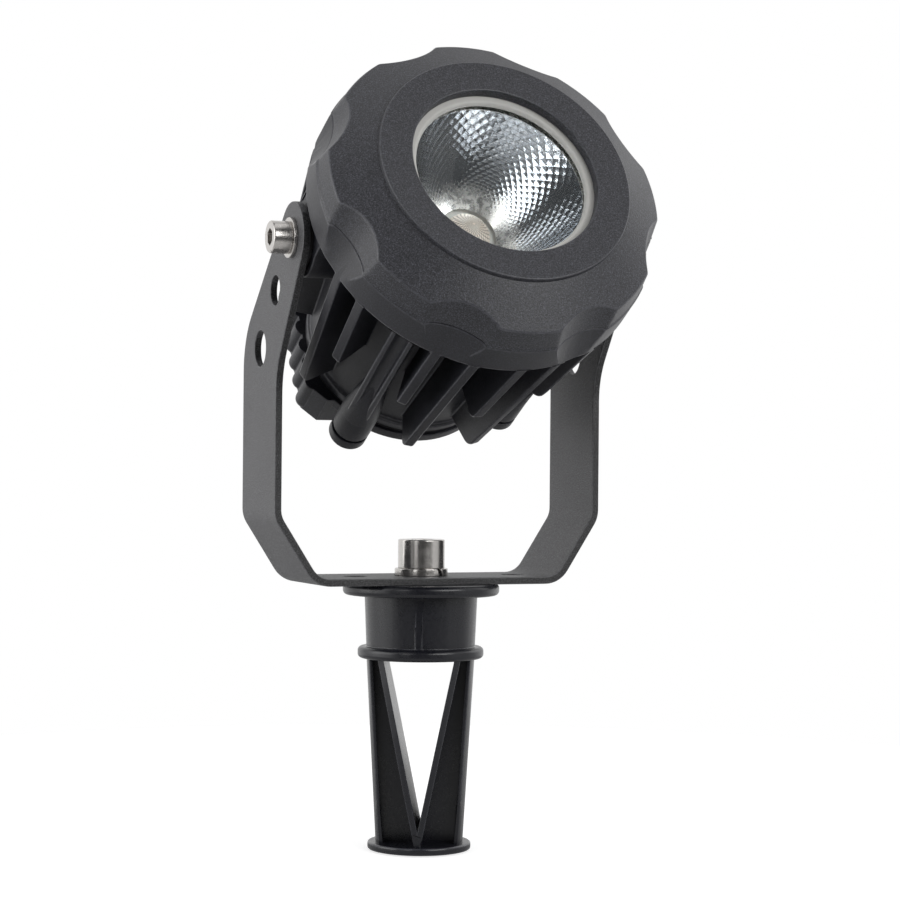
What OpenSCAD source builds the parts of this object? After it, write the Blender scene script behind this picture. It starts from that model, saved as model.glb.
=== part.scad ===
// Landscape spotlight on a ground stake.
// Origin at the centre of the stake's foot, +Z up, the lamp shines towards -Y.

/* [Stake] */
// Diameter of the round foot at the bottom
foot_d = 28.6; // [24:0.1:34]
// Thickness of the foot
foot_t = 2; // [1.5:0.1:4]
// Height of the two legs above the foot
leg_h = 50.9; // [35:0.1:80]
// Outline diameter of the legs at the top
leg_top_d = 30; // [27:0.1:31]
// Outline diameter of the legs at the foot
leg_low_d = 24.2; // [20:0.1:27]
// Thickness of the two slanted plates
leg_plate_t = 1.7; // [1.2:0.1:4]
// Thickness of the middle web
leg_web_t = 2.4; // [1.5:0.1:4]
// Thickness of the outer rims of the legs
leg_rim_t = 0.9; // [0.8:0.1:2]
// Width of the outer rims, front to back
leg_rim_w = 11; // [6:0.5:16]
// Width of the open V at its top
vee_w = 19.3; // [10:0.1:20]
// Diameter of the stop ring
ring_d = 35; // [33:0.1:40]
// Thickness of the stop ring
ring_t = 3.2; // [2:0.1:5]
// Diameter of the collar under the flange
collar_top_d = 31.4; // [30:0.1:32]
// Diameter of the collar above the stop ring
collar_low_d = 30.2; // [28:0.1:32]
// Height of the collar
collar_h = 14.3; // [10:0.1:25]
// Width of the moulded rib on the collar
rib_w = 1.8; // [1:0.1:3]
// Diameter of the top flange
flange_d = 43.5; // [38:0.1:50]
// Thickness of the top flange
flange_t = 3.3; // [2.5:0.1:5]
// Turn of the stake against the bracket in the modelled pose
stake_turn = -24; // [-180:1:180]

/* [Base bolt] */
// Shank diameter of the base bolt
bolt_d = 8; // [6:0.5:9]
// Head diameter of the base bolt
bolt_head_d = 13; // [11:0.1:15]
// Head height of the base bolt
bolt_head_h = 8; // [6:0.1:10]
// Shank length under the head
bolt_len = 18; // [14:0.5:24]
// Outer diameter of the spring washer
spring_d = 14.8; // [13:0.1:17]
// Thickness of the spring washer
spring_t = 2.1; // [1.5:0.1:3]
// Width of the cut in the spring washer
spring_cut = 1; // [0.6:0.1:2]
// Outer diameter of the threaded insert
insert_d = 13; // [12:0.5:16]
// Length of the threaded insert
insert_len = 13; // [9:0.5:14]

/* [Bracket] */
// Outside width over both arms
bracket_w = 95.4; // [92:0.2:110]
// Width of the steel strap
strap_w = 28.6; // [20:0.2:36]
// Thickness of the steel strap
strap_t = 2; // [1.5:0.1:3]
// Height of the sloped lower corners
corner_h = 18.3; // [10:0.1:24]
// Width of the sloped lower corners
corner_w = 11.7; // [6:0.1:15]
// Outside bend radius
bend_r = 8; // [4:0.5:10]
// Height of the pivot over the bracket's underside
pivot_rise = 91.6; // [86:0.2:120]
// Distance of the pivot in front of the stake's axis
pivot_fwd = 26.5; // [18:0.1:32]
// Radius of the rounded ear at the pivot
ear_r = 9.5; // [8:0.1:12]
// Radius of the arm's rear shoulder
shoulder_r = 20; // [14:0.5:26]
// Height of the rear shoulder's centre
shoulder_rise = 58.3; // [52:0.1:62]
// Height where the front edge starts to lean
lean_rise = 57.3; // [50:0.1:60]
// Upper arm hole diameter
hole_a_d = 8; // [5:0.1:9]
// Upper arm hole height
hole_a_rise = 78.8; // [76:0.1:80]
// Upper arm hole, distance in front of the stake's axis
hole_a_fwd = 13; // [10:0.1:15]
// Lower arm hole diameter
hole_b_d = 9.8; // [6:0.1:11]
// Lower arm hole height
hole_b_rise = 63.9; // [58:0.1:66]
// Lower arm hole, distance in front of the stake's axis
hole_b_fwd = 0.5; // [-3:0.1:4]
// Side hole diameter in the base
side_hole_d = 7; // [4:0.1:8]
// Distance of the left side hole from the stake's axis
side_hole_left = 19.6; // [16:0.1:28]
// Distance of the right side hole from the stake's axis
side_hole_right = 27.8; // [16:0.1:28]

/* [Pivot] */
// Screw diameter at the pivot
screw_d = 5; // [4:0.5:6]
// Screw head diameter at the pivot
screw_head_d = 8.5; // [7:0.1:10]
// Screw head height at the pivot
screw_head_h = 5; // [3:0.1:6]
// Screw length in the boss
screw_grip = 9; // [6:0.5:10]
// Flat washer diameter at the pivot
washer_d = 10.6; // [9:0.1:13]
// Flat washer thickness at the pivot
washer_t = 1; // [0.6:0.1:1.6]
// Friction disc thickness between boss and arm
friction_t = 1.2; // [0.6:0.1:2]
// Friction disc diameter
friction_d = 16; // [12:0.5:17]
// Pivot boss diameter on the housing
boss_d = 20.4; // [14:0.1:21]
// Beam angle over the horizon in the modelled pose
beam_tilt = 30; // [0:1:45]

/* [Housing] */
// Front rim diameter at its face
rim_d = 93.2; // [92:0.2:96]
// Front rim diameter at its back edge
rim_back_d = 93.6; // [91:0.2:94]
// Height of the rim's face over the pivot
rim_face = 21; // [18:0.1:24]
// Depth of the rim
rim_h = 10; // [8:0.1:11]
// Body diameter behind the rim
core_front_d = 67; // [64:0.5:72]
// Body diameter at the back end
core_back_d = 57; // [56:0.5:60]
// Distance of the body's back end behind the pivot
core_back = 50; // [46:0.5:60]
// Wall thickness of the body at its back end
core_wall = 3.5; // [2.5:0.1:4.5]
// Radius of the lamp chamber in front of the floor
chamber_r = 29.5; // [28.5:0.1:30]
// Distance of the chamber floor in front of the pivot
floor_top = 2; // [0:0.1:4]
// Thickness of the chamber floor
floor_t = 8; // [7:0.1:10]
// Thickness of the cooling fins
fin_t = 2.8; // [2:0.1:3.4]
// Radius over the fins behind the rim
fin_front_r = 46.5; // [44:0.1:46.7]
// Radius over the long fins at their ends
fin_long_r = 38.8; // [36:0.1:40]
// Distance of the long fins' ends behind the pivot
fin_long_back = 43; // [36:0.5:45]
// Radius over the short fins at their ends
fin_short_r = 42.2; // [38:0.1:43]
// Distance of the short fins' ends behind the pivot
fin_short_back = 20.5; // [14:0.5:26]
// Rounding of the fins' free corners
fin_round = 3; // [1:0.1:4]
// Direction of the first screw column
column_turn = 53.5; // [52:0.5:55]
// Width of the screw columns
column_w = 6.4; // [6:0.1:10]
// Distance of the cover screws outside the body's back end
column_out = 4.7; // [4:0.1:5.5]
// Radius of the round ears at the columns' ends
ear_end_r = 5.4; // [5:0.1:6]

/* [Bezel] */
// Diameter over the lobes at the front edge
lobe_d = 90.8; // [88:0.2:92]
// Diameter over the lobes at the back edge
lobe_back_d = 92.6; // [90:0.2:94]
// Height of the lobed edge over the bezel's back
lobe_h = 6.7; // [5:0.1:8]
// Height of the whole bezel
bezel_h = 13.9; // [13:0.1:16]
// Number of lobes
lobe_count = 8; // [6:1:10]
// Radius of each scoop between two lobes at the front edge
scoop_r = 22; // [16:0.5:26]
// Smallest radius in a scoop at the front edge
scoop_in = 42.3; // [41.5:0.1:43]
// Smallest radius in a scoop at the back edge
scoop_back_in = 43.9; // [43.5:0.1:44.5]
// Diameter of the raised face
face_d = 68.6; // [64:0.2:72]
// Height of the step round the raised face
face_step = 1.3; // [0.5:0.1:2]
// Diameter of the light opening
opening_d = 50.6; // [48:0.1:54]
// Thickness of the lip over the glass
lip_t = 3.2; // [2.6:0.1:4]

/* [Optics] */
// Diameter of the front glass
glass_d = 59; // [57:0.1:60]
// Thickness of the front glass
glass_t = 3; // [2:0.1:4]
// Thickness of the pale seal over the glass
seal_t = 1.2; // [0.8:0.1:1.5]
// Width of the pale seal
seal_w = 6.4; // [5.5:0.1:7.5]
// Width of the reflector's flat rim
mirror_rim_w = 4.9; // [4.5:0.1:7]
// Opening diameter at the reflector's base
mirror_low_d = 16; // [15:0.1:18]
// Wall thickness of the reflector
mirror_t = 0.8; // [0.6:0.1:1.2]
// Side length of the light engine's board
led_board = 19; // [16:0.5:21]
// Thickness of the light engine's board
led_board_t = 1.2; // [0.8:0.1:2]
// Diameter of the luminous disc
led_d = 12; // [9:0.5:14]
// Diameter of the small dome over the luminous disc
dome_d = 14; // [13:0.2:15]
// Height of the small dome
dome_h = 5.4; // [4:0.1:7]

/* [Back cover] */
// Thickness of the cover's plate
plate_t = 3; // [2.5:0.1:4]
// Thickness of the gasket in front of the cover
gasket_t = 1; // [0.6:0.1:1.6]
// Width of the connection box
box_w = 58; // [50:0.5:60]
// Height of the connection box
box_l = 36; // [30:0.5:40]
// Depth of the connection box behind the plate
box_h = 8; // [6:0.1:14]
// Corner cut of the connection box
box_cut = 4; // [2:0.1:6]
// Wall of the connection box
box_wall = 2.4; // [2:0.1:3]
// Number of grip ribs on each side of the box
grip_count = 5; // [3:1:5]
// Distance of the cable gland above the body's axis
gland_up = 8; // [6:0.1:9]
// Cable hole diameter in the gland
cable_d = 7; // [5:0.1:7.5]

/* [Driver] */
// Width of the driver board
board_w = 38; // [34:0.5:40]
// Length of the driver board
board_len = 42; // [36:0.5:42]
// Thickness of the driver board
board_t = 1.6; // [1:0.1:2]
// Width of the transformer's core
coil_w = 14; // [10:0.5:15]
// Height of the transformer over the board
coil_h = 12; // [8:0.5:13]
// Length of the transformer
coil_len = 15; // [12:0.5:16]
// Diameter of the large capacitor
cap_d = 10; // [8:0.5:11]
// Length of the large capacitor
cap_len = 13; // [10:0.5:14]
// Diameter and length of the small capacitor
cap_low_d = 8; // [5:0.5:9]
// Diameter of the choke
choke_d = 10; // [8:0.5:11]
// Width of the terminal block
block_w = 16; // [12:0.5:18]
// Height and depth of the terminal block
block_t = 9; // [8:0.5:10]

/* [Hidden] */
$fn = 96;
eps = 0.02;
// Radial running fit of a pin that the bracket turns on
run_gap = 0.06;
// Radial gap of a screw in its own thread or hole
thread_gap = 0.05;
// Gap of a part that is set into a pocket
set_gap = 0.15;

ring_z = foot_t + leg_h;
collar_z = ring_z + ring_t;
flange_z = collar_z + collar_h;
base_z = flange_z + flange_t;
plate_top = base_z + strap_t;
bolt_seat = plate_top + spring_t;
pivot_z = base_z + pivot_rise;
arm_out = bracket_w / 2;
arm_in = arm_out - strap_t;
boss_x = arm_in - friction_t;
screw_len = washer_t + strap_t + friction_t + screw_grip;
seal_in_d = glass_d - 2 * seal_w;
mirror_rim_d = glass_d - 2;
mirror_d = mirror_rim_d - 2 * mirror_rim_w;
column_r = core_back_d / 2 + column_out;
rim_back = rim_face - rim_h;
floor_low = floor_top - floor_t;
glass_top = rim_face + bezel_h - lip_t - seal_t;
glass_low = glass_top - glass_t;
cover_face = -core_back - gasket_t;
cover_low = cover_face - plate_t;
box_low = cover_low - box_h;
bezel_screw_r = 39.5;
bezel_screw_turn = column_turn + 18;
seal_groove_in = chamber_r + 1.6;
seal_groove_out = chamber_r + 4;
seal_groove_h = 1.2;
cover_hole_d = 4.4;
gland_r = 6;
gland_flange_r = 9;
board_y = -6;
board_front = floor_low - 2;
board_back = board_front - board_len;
wire_x = 3;
wire_y = -led_board / 2 - 2.6;
wire_r = 0.7;
pad_h = floor_top + led_board_t;
holder_r = 17.4;
holder_t = 3.4;
led_screw_x = 14.2;

// Colours as they look in daylight
coat_black = [0.08, 0.08, 0.085];
coat_grey = [0.16, 0.16, 0.165];
moulded_black = [0.06, 0.06, 0.065];
bright_steel = [0.72, 0.72, 0.74];
brass = [0.78, 0.62, 0.33];
mirror_silver = [0.88, 0.88, 0.9];
seal_white = [0.8, 0.8, 0.78];
rubber_black = [0.05, 0.05, 0.05];
clear_glass = [0.85, 0.92, 0.95, 0.35];

// Direction from one point to another, and a turned vector
function unit(v) = v / norm(v);
function turned(v, a) = [v.x * cos(a) - v.y * sin(a), v.x * sin(a) + v.y * cos(a)];
function left_of(v) = [-v.y, v.x];
function cross_z(a, b) = a.x * b.y - a.y * b.x;
function turn_of(p, q, r) = atan2(cross_z(q - p, r - q), (q - p) * (r - q));

// Points of a round corner of radius r at q, on the way from p to s
function corner(p, q, s, r, n = 8) =
    let (turn = turn_of(p, q, s), back = r * tan(abs(turn) / 2))
    let (start = q - back * unit(q - p), side = sign(turn))
    let (mid = start + side * r * left_of(unit(q - p)))
    [for (i = [0:n]) mid + turned(start - mid, turn * i / n)];

// Corner point of the same path moved to its left by t
function moved(p, q, s, t) =
    let (a = left_of(unit(q - p)), b = left_of(unit(s - q)))
    q + t * (a + b) / (1 + a * b);

module at_head() {
    translate([0, -pivot_fwd, pivot_z]) rotate([90 - beam_tilt, 0, 0]) children();
}

module both_sides() {
    children();
    mirror([1, 0, 0]) children();
}

module ring(r_out, r_in, low, high) {
    translate([0, 0, low]) difference() {
        cylinder(r = r_out, h = high - low);
        translate([0, 0, -1]) cylinder(r = r_in, h = high - low + 2);
    }
}

// A disc with rounded upper and lower edges
module soft_disc(r, low, high, round_r) {
    rotate_extrude() {
        translate([0, low]) square([r - round_r, high - low]);
        translate([0, low + round_r]) square([r, high - low - 2 * round_r]);
        translate([r - round_r, low + round_r]) circle(r = round_r, $fn = 32);
        translate([r - round_r, high - round_r]) circle(r = round_r, $fn = 32);
    }
}

// Stake

module leg_outline() {
    translate([0, 0, foot_t - eps])
        cylinder(r1 = leg_low_d / 2, r2 = leg_top_d / 2, h = leg_h + 2 * eps);
}

vee_low = foot_t + leg_h * 0.08;
module vee(grow) {
    lean = (vee_w / 2) / (ring_z - vee_low);
    grow_x = grow * sqrt(1 + lean * lean);
    rotate([90, 0, 0]) linear_extrude(flange_d, center = true) polygon([
        [0, vee_low - grow_x / lean],
        [vee_w / 2 + grow_x, ring_z],
        [-vee_w / 2 - grow_x, ring_z]
    ]);
}

module legs() {
    intersection() {
        leg_outline();
        union() {
            difference() {
                vee(leg_plate_t);
                vee(0);
            }
            difference() {
                translate([-leg_top_d / 2, -leg_web_t / 2, 0]) cube([leg_top_d, leg_web_t, ring_z + eps]);
                vee(leg_plate_t / 2);
            }
            difference() {
                translate([-leg_top_d, -leg_rim_w / 2, 0]) cube([2 * leg_top_d, leg_rim_w, ring_z + eps]);
                translate([0, 0, foot_t - 1]) cylinder(
                    r1 = leg_low_d / 2 - leg_rim_t, r2 = leg_top_d / 2 - leg_rim_t, h = leg_h + 2);
                vee(0);
            }
        }
    }
}

module stake() {
    color(moulded_black) rotate([0, 0, stake_turn]) difference() {
        union() {
            soft_disc(foot_d / 2, 0, foot_t, 0.6);
            legs();
            soft_disc(ring_d / 2, ring_z, collar_z, 1.2);
            translate([0, 0, collar_z - eps])
                cylinder(r1 = collar_low_d / 2, r2 = collar_top_d / 2, h = collar_h + 2 * eps);
            translate([-rib_w / 2, -collar_low_d / 2 - 0.5, collar_z - eps])
                cube([rib_w, collar_low_d + 1, collar_h + 2 * eps]);
            soft_disc(flange_d / 2, flange_z, base_z, 1.3);
        }
        translate([0, 0, bolt_seat - bolt_len - 1]) cylinder(r = bolt_d / 2 + set_gap, h = bolt_len + 1);
        translate([0, 0, base_z - insert_len]) cylinder(r = insert_d / 2, h = insert_len + 1);
    }
}

module threaded_insert() {
    color(brass) ring(insert_d / 2, bolt_d / 2 + thread_gap, base_z - insert_len, base_z);
}

module socket_screw(shank_r, shank_len, head_r, head_h, key) {
    translate([0, 0, -shank_len]) cylinder(r = shank_r, h = shank_len + eps);
    difference() {
        rotate_extrude() {
            square([head_r - 0.4, head_h]);
            square([head_r, head_h - 0.4]);
            translate([head_r - 0.4, head_h - 0.4]) circle(r = 0.4, $fn = 24);
        }
        translate([0, 0, head_h * 0.45]) cylinder(d = key / cos(30), h = head_h, $fn = 6);
    }
}

module base_bolt() {
    color(bright_steel) translate([0, 0, bolt_seat])
        socket_screw(bolt_d / 2, bolt_len, bolt_head_d / 2, bolt_head_h, 6);
}

module base_spring_washer() {
    color(bright_steel) difference() {
        ring(spring_d / 2, bolt_d / 2 + set_gap, plate_top, bolt_seat);
        rotate([0, 0, -66]) translate([spring_d / 2, 0, plate_top + spring_t / 2])
            rotate([25, 0, 0]) cube([spring_d, spring_cut, 3 * spring_t], center = true);
    }
}

// Bracket

// Front view of the strap, from the top of one arm to the top of the other
strap_top = pivot_rise + ear_r + 1;
strap_path = [
    [-arm_out, strap_top],
    [-arm_out, corner_h],
    [-arm_out + corner_w, 0],
    [arm_out - corner_w, 0],
    [arm_out, corner_h],
    [arm_out, strap_top]
];
function strap_side(t) = concat(
    [strap_path[0] + [t, 0]],
    [for (i = [1:4]) let (
        p = i == 1 ? strap_path[0] + [t, 0] : moved(strap_path[i - 2], strap_path[i - 1], strap_path[i], t),
        after = strap_path[min(i + 2, 5)],
        s = i == 4 ? strap_path[5] - [t, 0] : moved(strap_path[i], strap_path[i + 1], after, t),
        q = moved(strap_path[i - 1], strap_path[i], strap_path[i + 1], t)
    ) each corner(p, q, s, bend_r - t)],
    [strap_path[5] - [t, 0]]
);
function backwards(list) = [for (i = [len(list) - 1:-1:0]) list[i]];

// Side view of an arm: upright strap, rear shoulder, round ear at the pivot
half_w = strap_w / 2;
shoulder_at = [half_w - shoulder_r, shoulder_rise];
ear_at = [-pivot_fwd, pivot_rise];
ear_line = ear_at - shoulder_at;
ear_dir = atan2(ear_line.y, ear_line.x);
rear_turn = ear_dir - acos((shoulder_r - ear_r) / norm(ear_line));
lean_from = [-half_w, lean_rise];
lean_line = ear_at - lean_from;
lean_dir = atan2(lean_line.y, lean_line.x);
front_turn = lean_dir - acos(ear_r / norm(lean_line)) + 180;
function on_circle(mid, r, a) = mid + r * [cos(a), sin(a)];
function arc_at(mid, r, from, to, n) = [for (i = [0:n]) on_circle(mid, r, from + (to - from) * i / n)];
ear_end = on_circle(ear_at, ear_r, front_turn);
arm_side = concat(
    [[half_w, 0]],
    arc_at(shoulder_at, shoulder_r, 0, rear_turn, 10),
    arc_at(ear_at, ear_r, rear_turn, front_turn, 16),
    corner(ear_end, lean_from, [-half_w, 0], shoulder_r, 8),
    [[-half_w, 0]]
);

module bracket() {
    color(coat_grey) translate([0, 0, base_z]) difference() {
        intersection() {
            rotate([90, 0, 0]) linear_extrude(4 * strap_w, center = true)
                polygon(concat(strap_side(0), backwards(strap_side(strap_t))));
            rotate([90, 0, 90]) linear_extrude(bracket_w + 2, center = true) polygon(arm_side);
        }
        translate([0, 0, -1]) cylinder(r = bolt_d / 2 + run_gap, h = strap_t + 2);
        for (x = [-side_hole_left, side_hole_right])
            translate([x, 0, -1]) cylinder(r = side_hole_d / 2, h = strap_t + 2);
        translate([-bracket_w, -pivot_fwd, pivot_rise]) rotate([0, 90, 0])
            cylinder(r = screw_d / 2 + run_gap, h = 2 * bracket_w);
        translate([-bracket_w, -hole_a_fwd, hole_a_rise]) rotate([0, 90, 0])
            cylinder(r = hole_a_d / 2, h = 2 * bracket_w);
        translate([-bracket_w, -hole_b_fwd, hole_b_rise]) rotate([0, 90, 0])
            cylinder(r = hole_b_d / 2, h = 2 * bracket_w);
    }
}

// Pivot

module pivot_screws() {
    color(bright_steel) translate([0, -pivot_fwd, pivot_z]) both_sides()
        translate([arm_out + washer_t, 0, 0]) rotate([0, 90, 0])
            socket_screw(screw_d / 2, screw_len, screw_head_d / 2, screw_head_h, 4);
}

module pivot_washers() {
    color(bright_steel) translate([0, -pivot_fwd, pivot_z]) both_sides()
        rotate([0, 90, 0]) ring(washer_d / 2, screw_d / 2 + thread_gap, arm_out, arm_out + washer_t);
}

module friction_discs() {
    color(rubber_black) translate([0, -pivot_fwd, pivot_z]) both_sides()
        rotate([0, 90, 0]) ring(friction_d / 2, screw_d / 2 + thread_gap, boss_x, arm_in);
}

// Housing, in the head's own frame: +Z along the beam, X along the pivot

// Radius of the outline over the fins at height h behind the rim
function fin_line(h, end_r, end_back) =
    fin_front_r + (end_r - fin_front_r) * (rim_back - h) / (rim_back + end_back);

module fin(end_r, end_back) {
    root_r = core_back_d / 2 - 1.5;
    top_h = rim_back + 1;
    foot_a = [root_r, -end_back];
    foot_b = [end_r, -end_back];
    top_b = [fin_line(top_h, end_r, end_back), top_h];
    rotate([90, 0, 0]) linear_extrude(fin_t, center = true) polygon(concat(
        [[root_r, top_h]], [foot_a], corner(foot_a, foot_b, top_b, fin_round), [top_b]));
}

// A screw column with an open channel along its outer side
module column() {
    low = -core_back;
    outer_low = column_r + ear_end_r;
    channel_r = column_w / 2 - 1.4;
    run = rim_back - low;
    lean = atan((fin_front_r - outer_low) / run);
    root_r = core_back_d / 2 - 2;
    difference() {
        union() {
            rotate([90, 0, 0]) linear_extrude(column_w, center = true) polygon([
                [root_r, rim_back + 1], [root_r, low], [column_r, low],
                [column_r, low + 8], [outer_low - 1, low + 10], [fin_front_r - 0.6, rim_back + 1]
            ]);
            translate([column_r, 0, low]) cylinder(r = ear_end_r, h = 9, $fn = 64);
        }
        translate([outer_low + 0.4, 0, low + 13]) rotate([0, lean, 0])
            cylinder(r = channel_r, h = run, $fn = 48);
    }
}

// Directions of the fins, counted from the first screw column; the other half repeats them
short_turns = [11.6, 41, 71.5, 101.6, 162.7];
long_turns = [24.5, 54, 114.5, 151.5];
module fins_and_columns() {
    for (half = [0, 180]) rotate([0, 0, column_turn + half]) {
        for (a = short_turns) rotate([0, 0, a]) fin(fin_short_r, fin_short_back);
        for (a = long_turns) rotate([0, 0, a]) fin(fin_long_r, fin_long_back);
        for (a = [0, 90]) rotate([0, 0, a]) column();
    }
}

// Room between the arms for the fins next to the pivot
module between_arms() {
    half = boss_x - 0.3;
    translate([-half, -rim_d, -2 * core_back]) cube([2 * half, 2 * rim_d, 4 * core_back]);
}

module body_blank() {
    rotate_extrude() polygon([
        [0, -core_back],
        [core_back_d / 2, -core_back],
        [core_back_d / 2 + 0.6, -core_back + 3.4],
        [core_back_d / 2 - 0.4, -core_back + 4],
        [core_front_d / 2, rim_back - 2.5],
        [core_front_d / 2 + 3, rim_back],
        [rim_back_d / 2 - 0.8, rim_back],
        [rim_back_d / 2, rim_back + 0.8],
        [rim_d / 2, rim_face - 0.8],
        [rim_d / 2 - 0.8, rim_face],
        [0, rim_face]
    ]);
}

// Round the body for each bezel screw, in the gaps between fins
module at_bezel_screws() {
    for (a = [0:90:270]) rotate([0, 0, bezel_screw_turn + a]) translate([bezel_screw_r, 0, 0]) children();
}

module at_back_screws() {
    for (a = [0:90:270]) rotate([0, 0, column_turn + a]) translate([column_r, 0, 0]) children();
}

module at_led_screws() {
    for (x = [-led_screw_x, led_screw_x]) translate([x, 0, 0]) children();
}

module housing() {
    back_r = core_back_d / 2 - core_wall;
    color(coat_black) at_head() difference() {
        union() {
            body_blank();
            intersection() {
                fins_and_columns();
                between_arms();
            }
            both_sides() rotate([0, 90, 0]) translate([0, 0, back_r])
                cylinder(r = boss_d / 2, h = boss_x - back_r);
            both_sides() translate([back_r, -boss_d * 0.45, 0])
                cube([boss_x - back_r, boss_d * 0.9, rim_back + 0.5]);
        }
        translate([0, 0, rim_face]) scoops();
        translate([0, 0, floor_top]) cylinder(r = chamber_r, h = rim_face);
        ring(seal_groove_out, seal_groove_in, rim_face - seal_groove_h, rim_face + 1);
        translate([0, 0, -core_back - 1]) cylinder(r = back_r, h = core_back + floor_low + 1);
        both_sides() rotate([0, 90, 0]) translate([0, 0, boss_x - screw_grip - 1])
            cylinder(r = screw_d / 2 + thread_gap, h = screw_grip + 2);
        at_bezel_screws() cylinder(r = 1.5 + set_gap, h = rim_face + 1);
        at_back_screws() translate([0, 0, -core_back - 1]) cylinder(r = 2 + thread_gap, h = 11);
        translate([0, wire_y, floor_low - 1]) cylinder(r = 4, h = floor_t + 2);
        at_led_screws() translate([0, 0, floor_top - 5]) cylinder(r = 1.25 + thread_gap, h = 6);
    }
}

module bezel() {
    lip = bezel_h - lip_t;
    color(coat_black) at_head() translate([0, 0, rim_face]) difference() {
        rotate_extrude() polygon([
            [chamber_r + set_gap, 0],
            [lobe_back_d / 2, 0],
            [lobe_d / 2 + 0.3, lobe_h - 0.8],
            [lobe_d / 2 - 0.7, lobe_h],
            [face_d / 2, bezel_h - face_step],
            [face_d / 2, bezel_h - 0.2],
            [face_d / 2 - 0.3, bezel_h],
            [opening_d / 2 + 0.5, bezel_h - 0.4],
            [opening_d / 2, bezel_h - 0.9],
            [opening_d / 2, lip],
            [glass_d / 2 + set_gap, lip],
            [glass_d / 2 + set_gap, 1],
            [chamber_r + set_gap, 1]
        ]);
        scoops();
        at_bezel_screws() translate([0, 0, -1]) cylinder(r = 1.5 + thread_gap, h = 6);
    }
}

// Cutters of the scoops, leaning outwards towards the rim's back
module scoops() {
    for (i = [0:lobe_count - 1]) rotate([0, 0, (i + 0.5) * 360 / lobe_count]) scoop();
}
module scoop() {
    gain = (scoop_back_in - scoop_in) / lobe_h;
    far = scoop_in + scoop_r;
    low = -rim_h - 1;
    high = bezel_h;
    translate([far, 0, low]) cylinder(
        r1 = scoop_r - gain * (lobe_h - low),
        r2 = scoop_r + gain * (high - lobe_h),
        h = high - low,
        $fn = 128
    );
}

module bezel_seal() {
    color(rubber_black) at_head()
        ring(seal_groove_out - 0.1, seal_groove_in + 0.1, rim_face - seal_groove_h, rim_face);
}

module bezel_screws() {
    color(bright_steel) at_head() at_bezel_screws() {
        translate([0, 0, rim_back - 1.9]) cylinder(r = 2.7, h = 1.9, $fn = 48);
        translate([0, 0, rim_back - eps]) cylinder(r = 1.5, h = rim_h + 4, $fn = 48);
    }
}

// Optics

module front_glass() {
    color(clear_glass) at_head() translate([0, 0, glass_low]) cylinder(r = glass_d / 2, h = glass_t);
}

module glass_seal() {
    color(seal_white) at_head() ring(glass_d / 2, seal_in_d / 2, glass_top, glass_top + seal_t);
}

// Height of the mirror's surface over its base at radius r
mirror_low = pad_h + 1.4;
mirror_h = glass_low - mirror_low;
mirror_low_r = mirror_low_d / 2;
mirror_wide_r = mirror_d / 2;
mirror_span = mirror_wide_r * mirror_wide_r - mirror_low_r * mirror_low_r;
function mirror_at(r) = mirror_h * (r * r - mirror_low_r * mirror_low_r) / mirror_span;

module reflector() {
    steps = 20;
    wide_r = mirror_wide_r;
    reach = wide_r - mirror_low_r;
    inside = [for (i = [0:steps]) let (r = mirror_low_r + reach * i / steps) [r, mirror_at(r)]];
    outside = [for (p = inside) [p.x + mirror_t, p.y]];
    color(mirror_silver) at_head() translate([0, 0, mirror_low]) {
        rotate_extrude() polygon(concat(
            inside, [[mirror_rim_d / 2, mirror_h], [mirror_rim_d / 2, mirror_h - mirror_t]],
            [[wide_r + mirror_t, mirror_h - mirror_t]],
            backwards([for (p = outside) if (p.y < mirror_h - mirror_t) p])
        ));
    }
}

module thermal_pad() {
    color("lightgray") at_head() translate([0, 0, floor_top + 0.15])
        cube([led_board + 1, led_board + 1, 0.3], center = true);
}

module led_board() {
    color("gainsboro") at_head() translate([-led_board / 2, -led_board / 2, floor_top + 0.3])
        cube([led_board, led_board, led_board_t - 0.3]);
}

module led_disc() {
    color("gold") at_head() translate([0, 0, pad_h]) cylinder(r = led_d / 2, h = 0.6);
}

module led_dome() {
    skirt = 1;
    bow_h = dome_h - skirt;
    bow_r = (dome_d * dome_d / 4 + bow_h * bow_h) / (2 * bow_h);
    color(clear_glass) at_head() translate([0, 0, pad_h + 0.6]) {
        cylinder(r = dome_d / 2, h = skirt);
        translate([0, 0, skirt - eps]) intersection() {
            translate([0, 0, bow_h - bow_r]) sphere(r = bow_r);
            cylinder(r = dome_d / 2, h = bow_h + eps);
        }
    }
}

module led_holder() {
    color("white") at_head() difference() {
        ring(holder_r, mirror_low_d / 2 + mirror_t + 1.2, floor_top, floor_top + holder_t);
        translate([0, 0, floor_top]) cube([led_board + 1.4, led_board + 1.4, 2 * led_board_t], center = true);
        translate([0, wire_y, floor_top]) cube([2 * wire_x + 4, 8, 3 * holder_t], center = true);
        at_led_screws() translate([0, 0, floor_top - 1]) cylinder(r = 1.25 + set_gap, h = 6);
    }
}

module led_screws() {
    color(bright_steel) at_head() at_led_screws() translate([0, 0, floor_top + holder_t]) {
        cylinder(r = 2.2, h = 1.5, $fn = 48);
        translate([0, 0, -holder_t - 4]) cylinder(r = 1.25, h = holder_t + 4 + eps, $fn = 48);
    }
}

// Two wires from the driver through the floor to the light engine's pads
module led_wires() {
    color("firebrick") at_head() for (x = [-wire_x, wire_x]) {
        top = pad_h + wire_r;
        translate([x, wire_y, board_front - 4]) cylinder(r = wire_r, h = top - board_front + 4, $fn = 24);
        translate([x, wire_y, top]) sphere(r = wire_r, $fn = 24);
        translate([x, wire_y, top]) rotate([-90, 0, 0]) cylinder(r = wire_r, h = 4.2, $fn = 24);
    }
}

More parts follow.
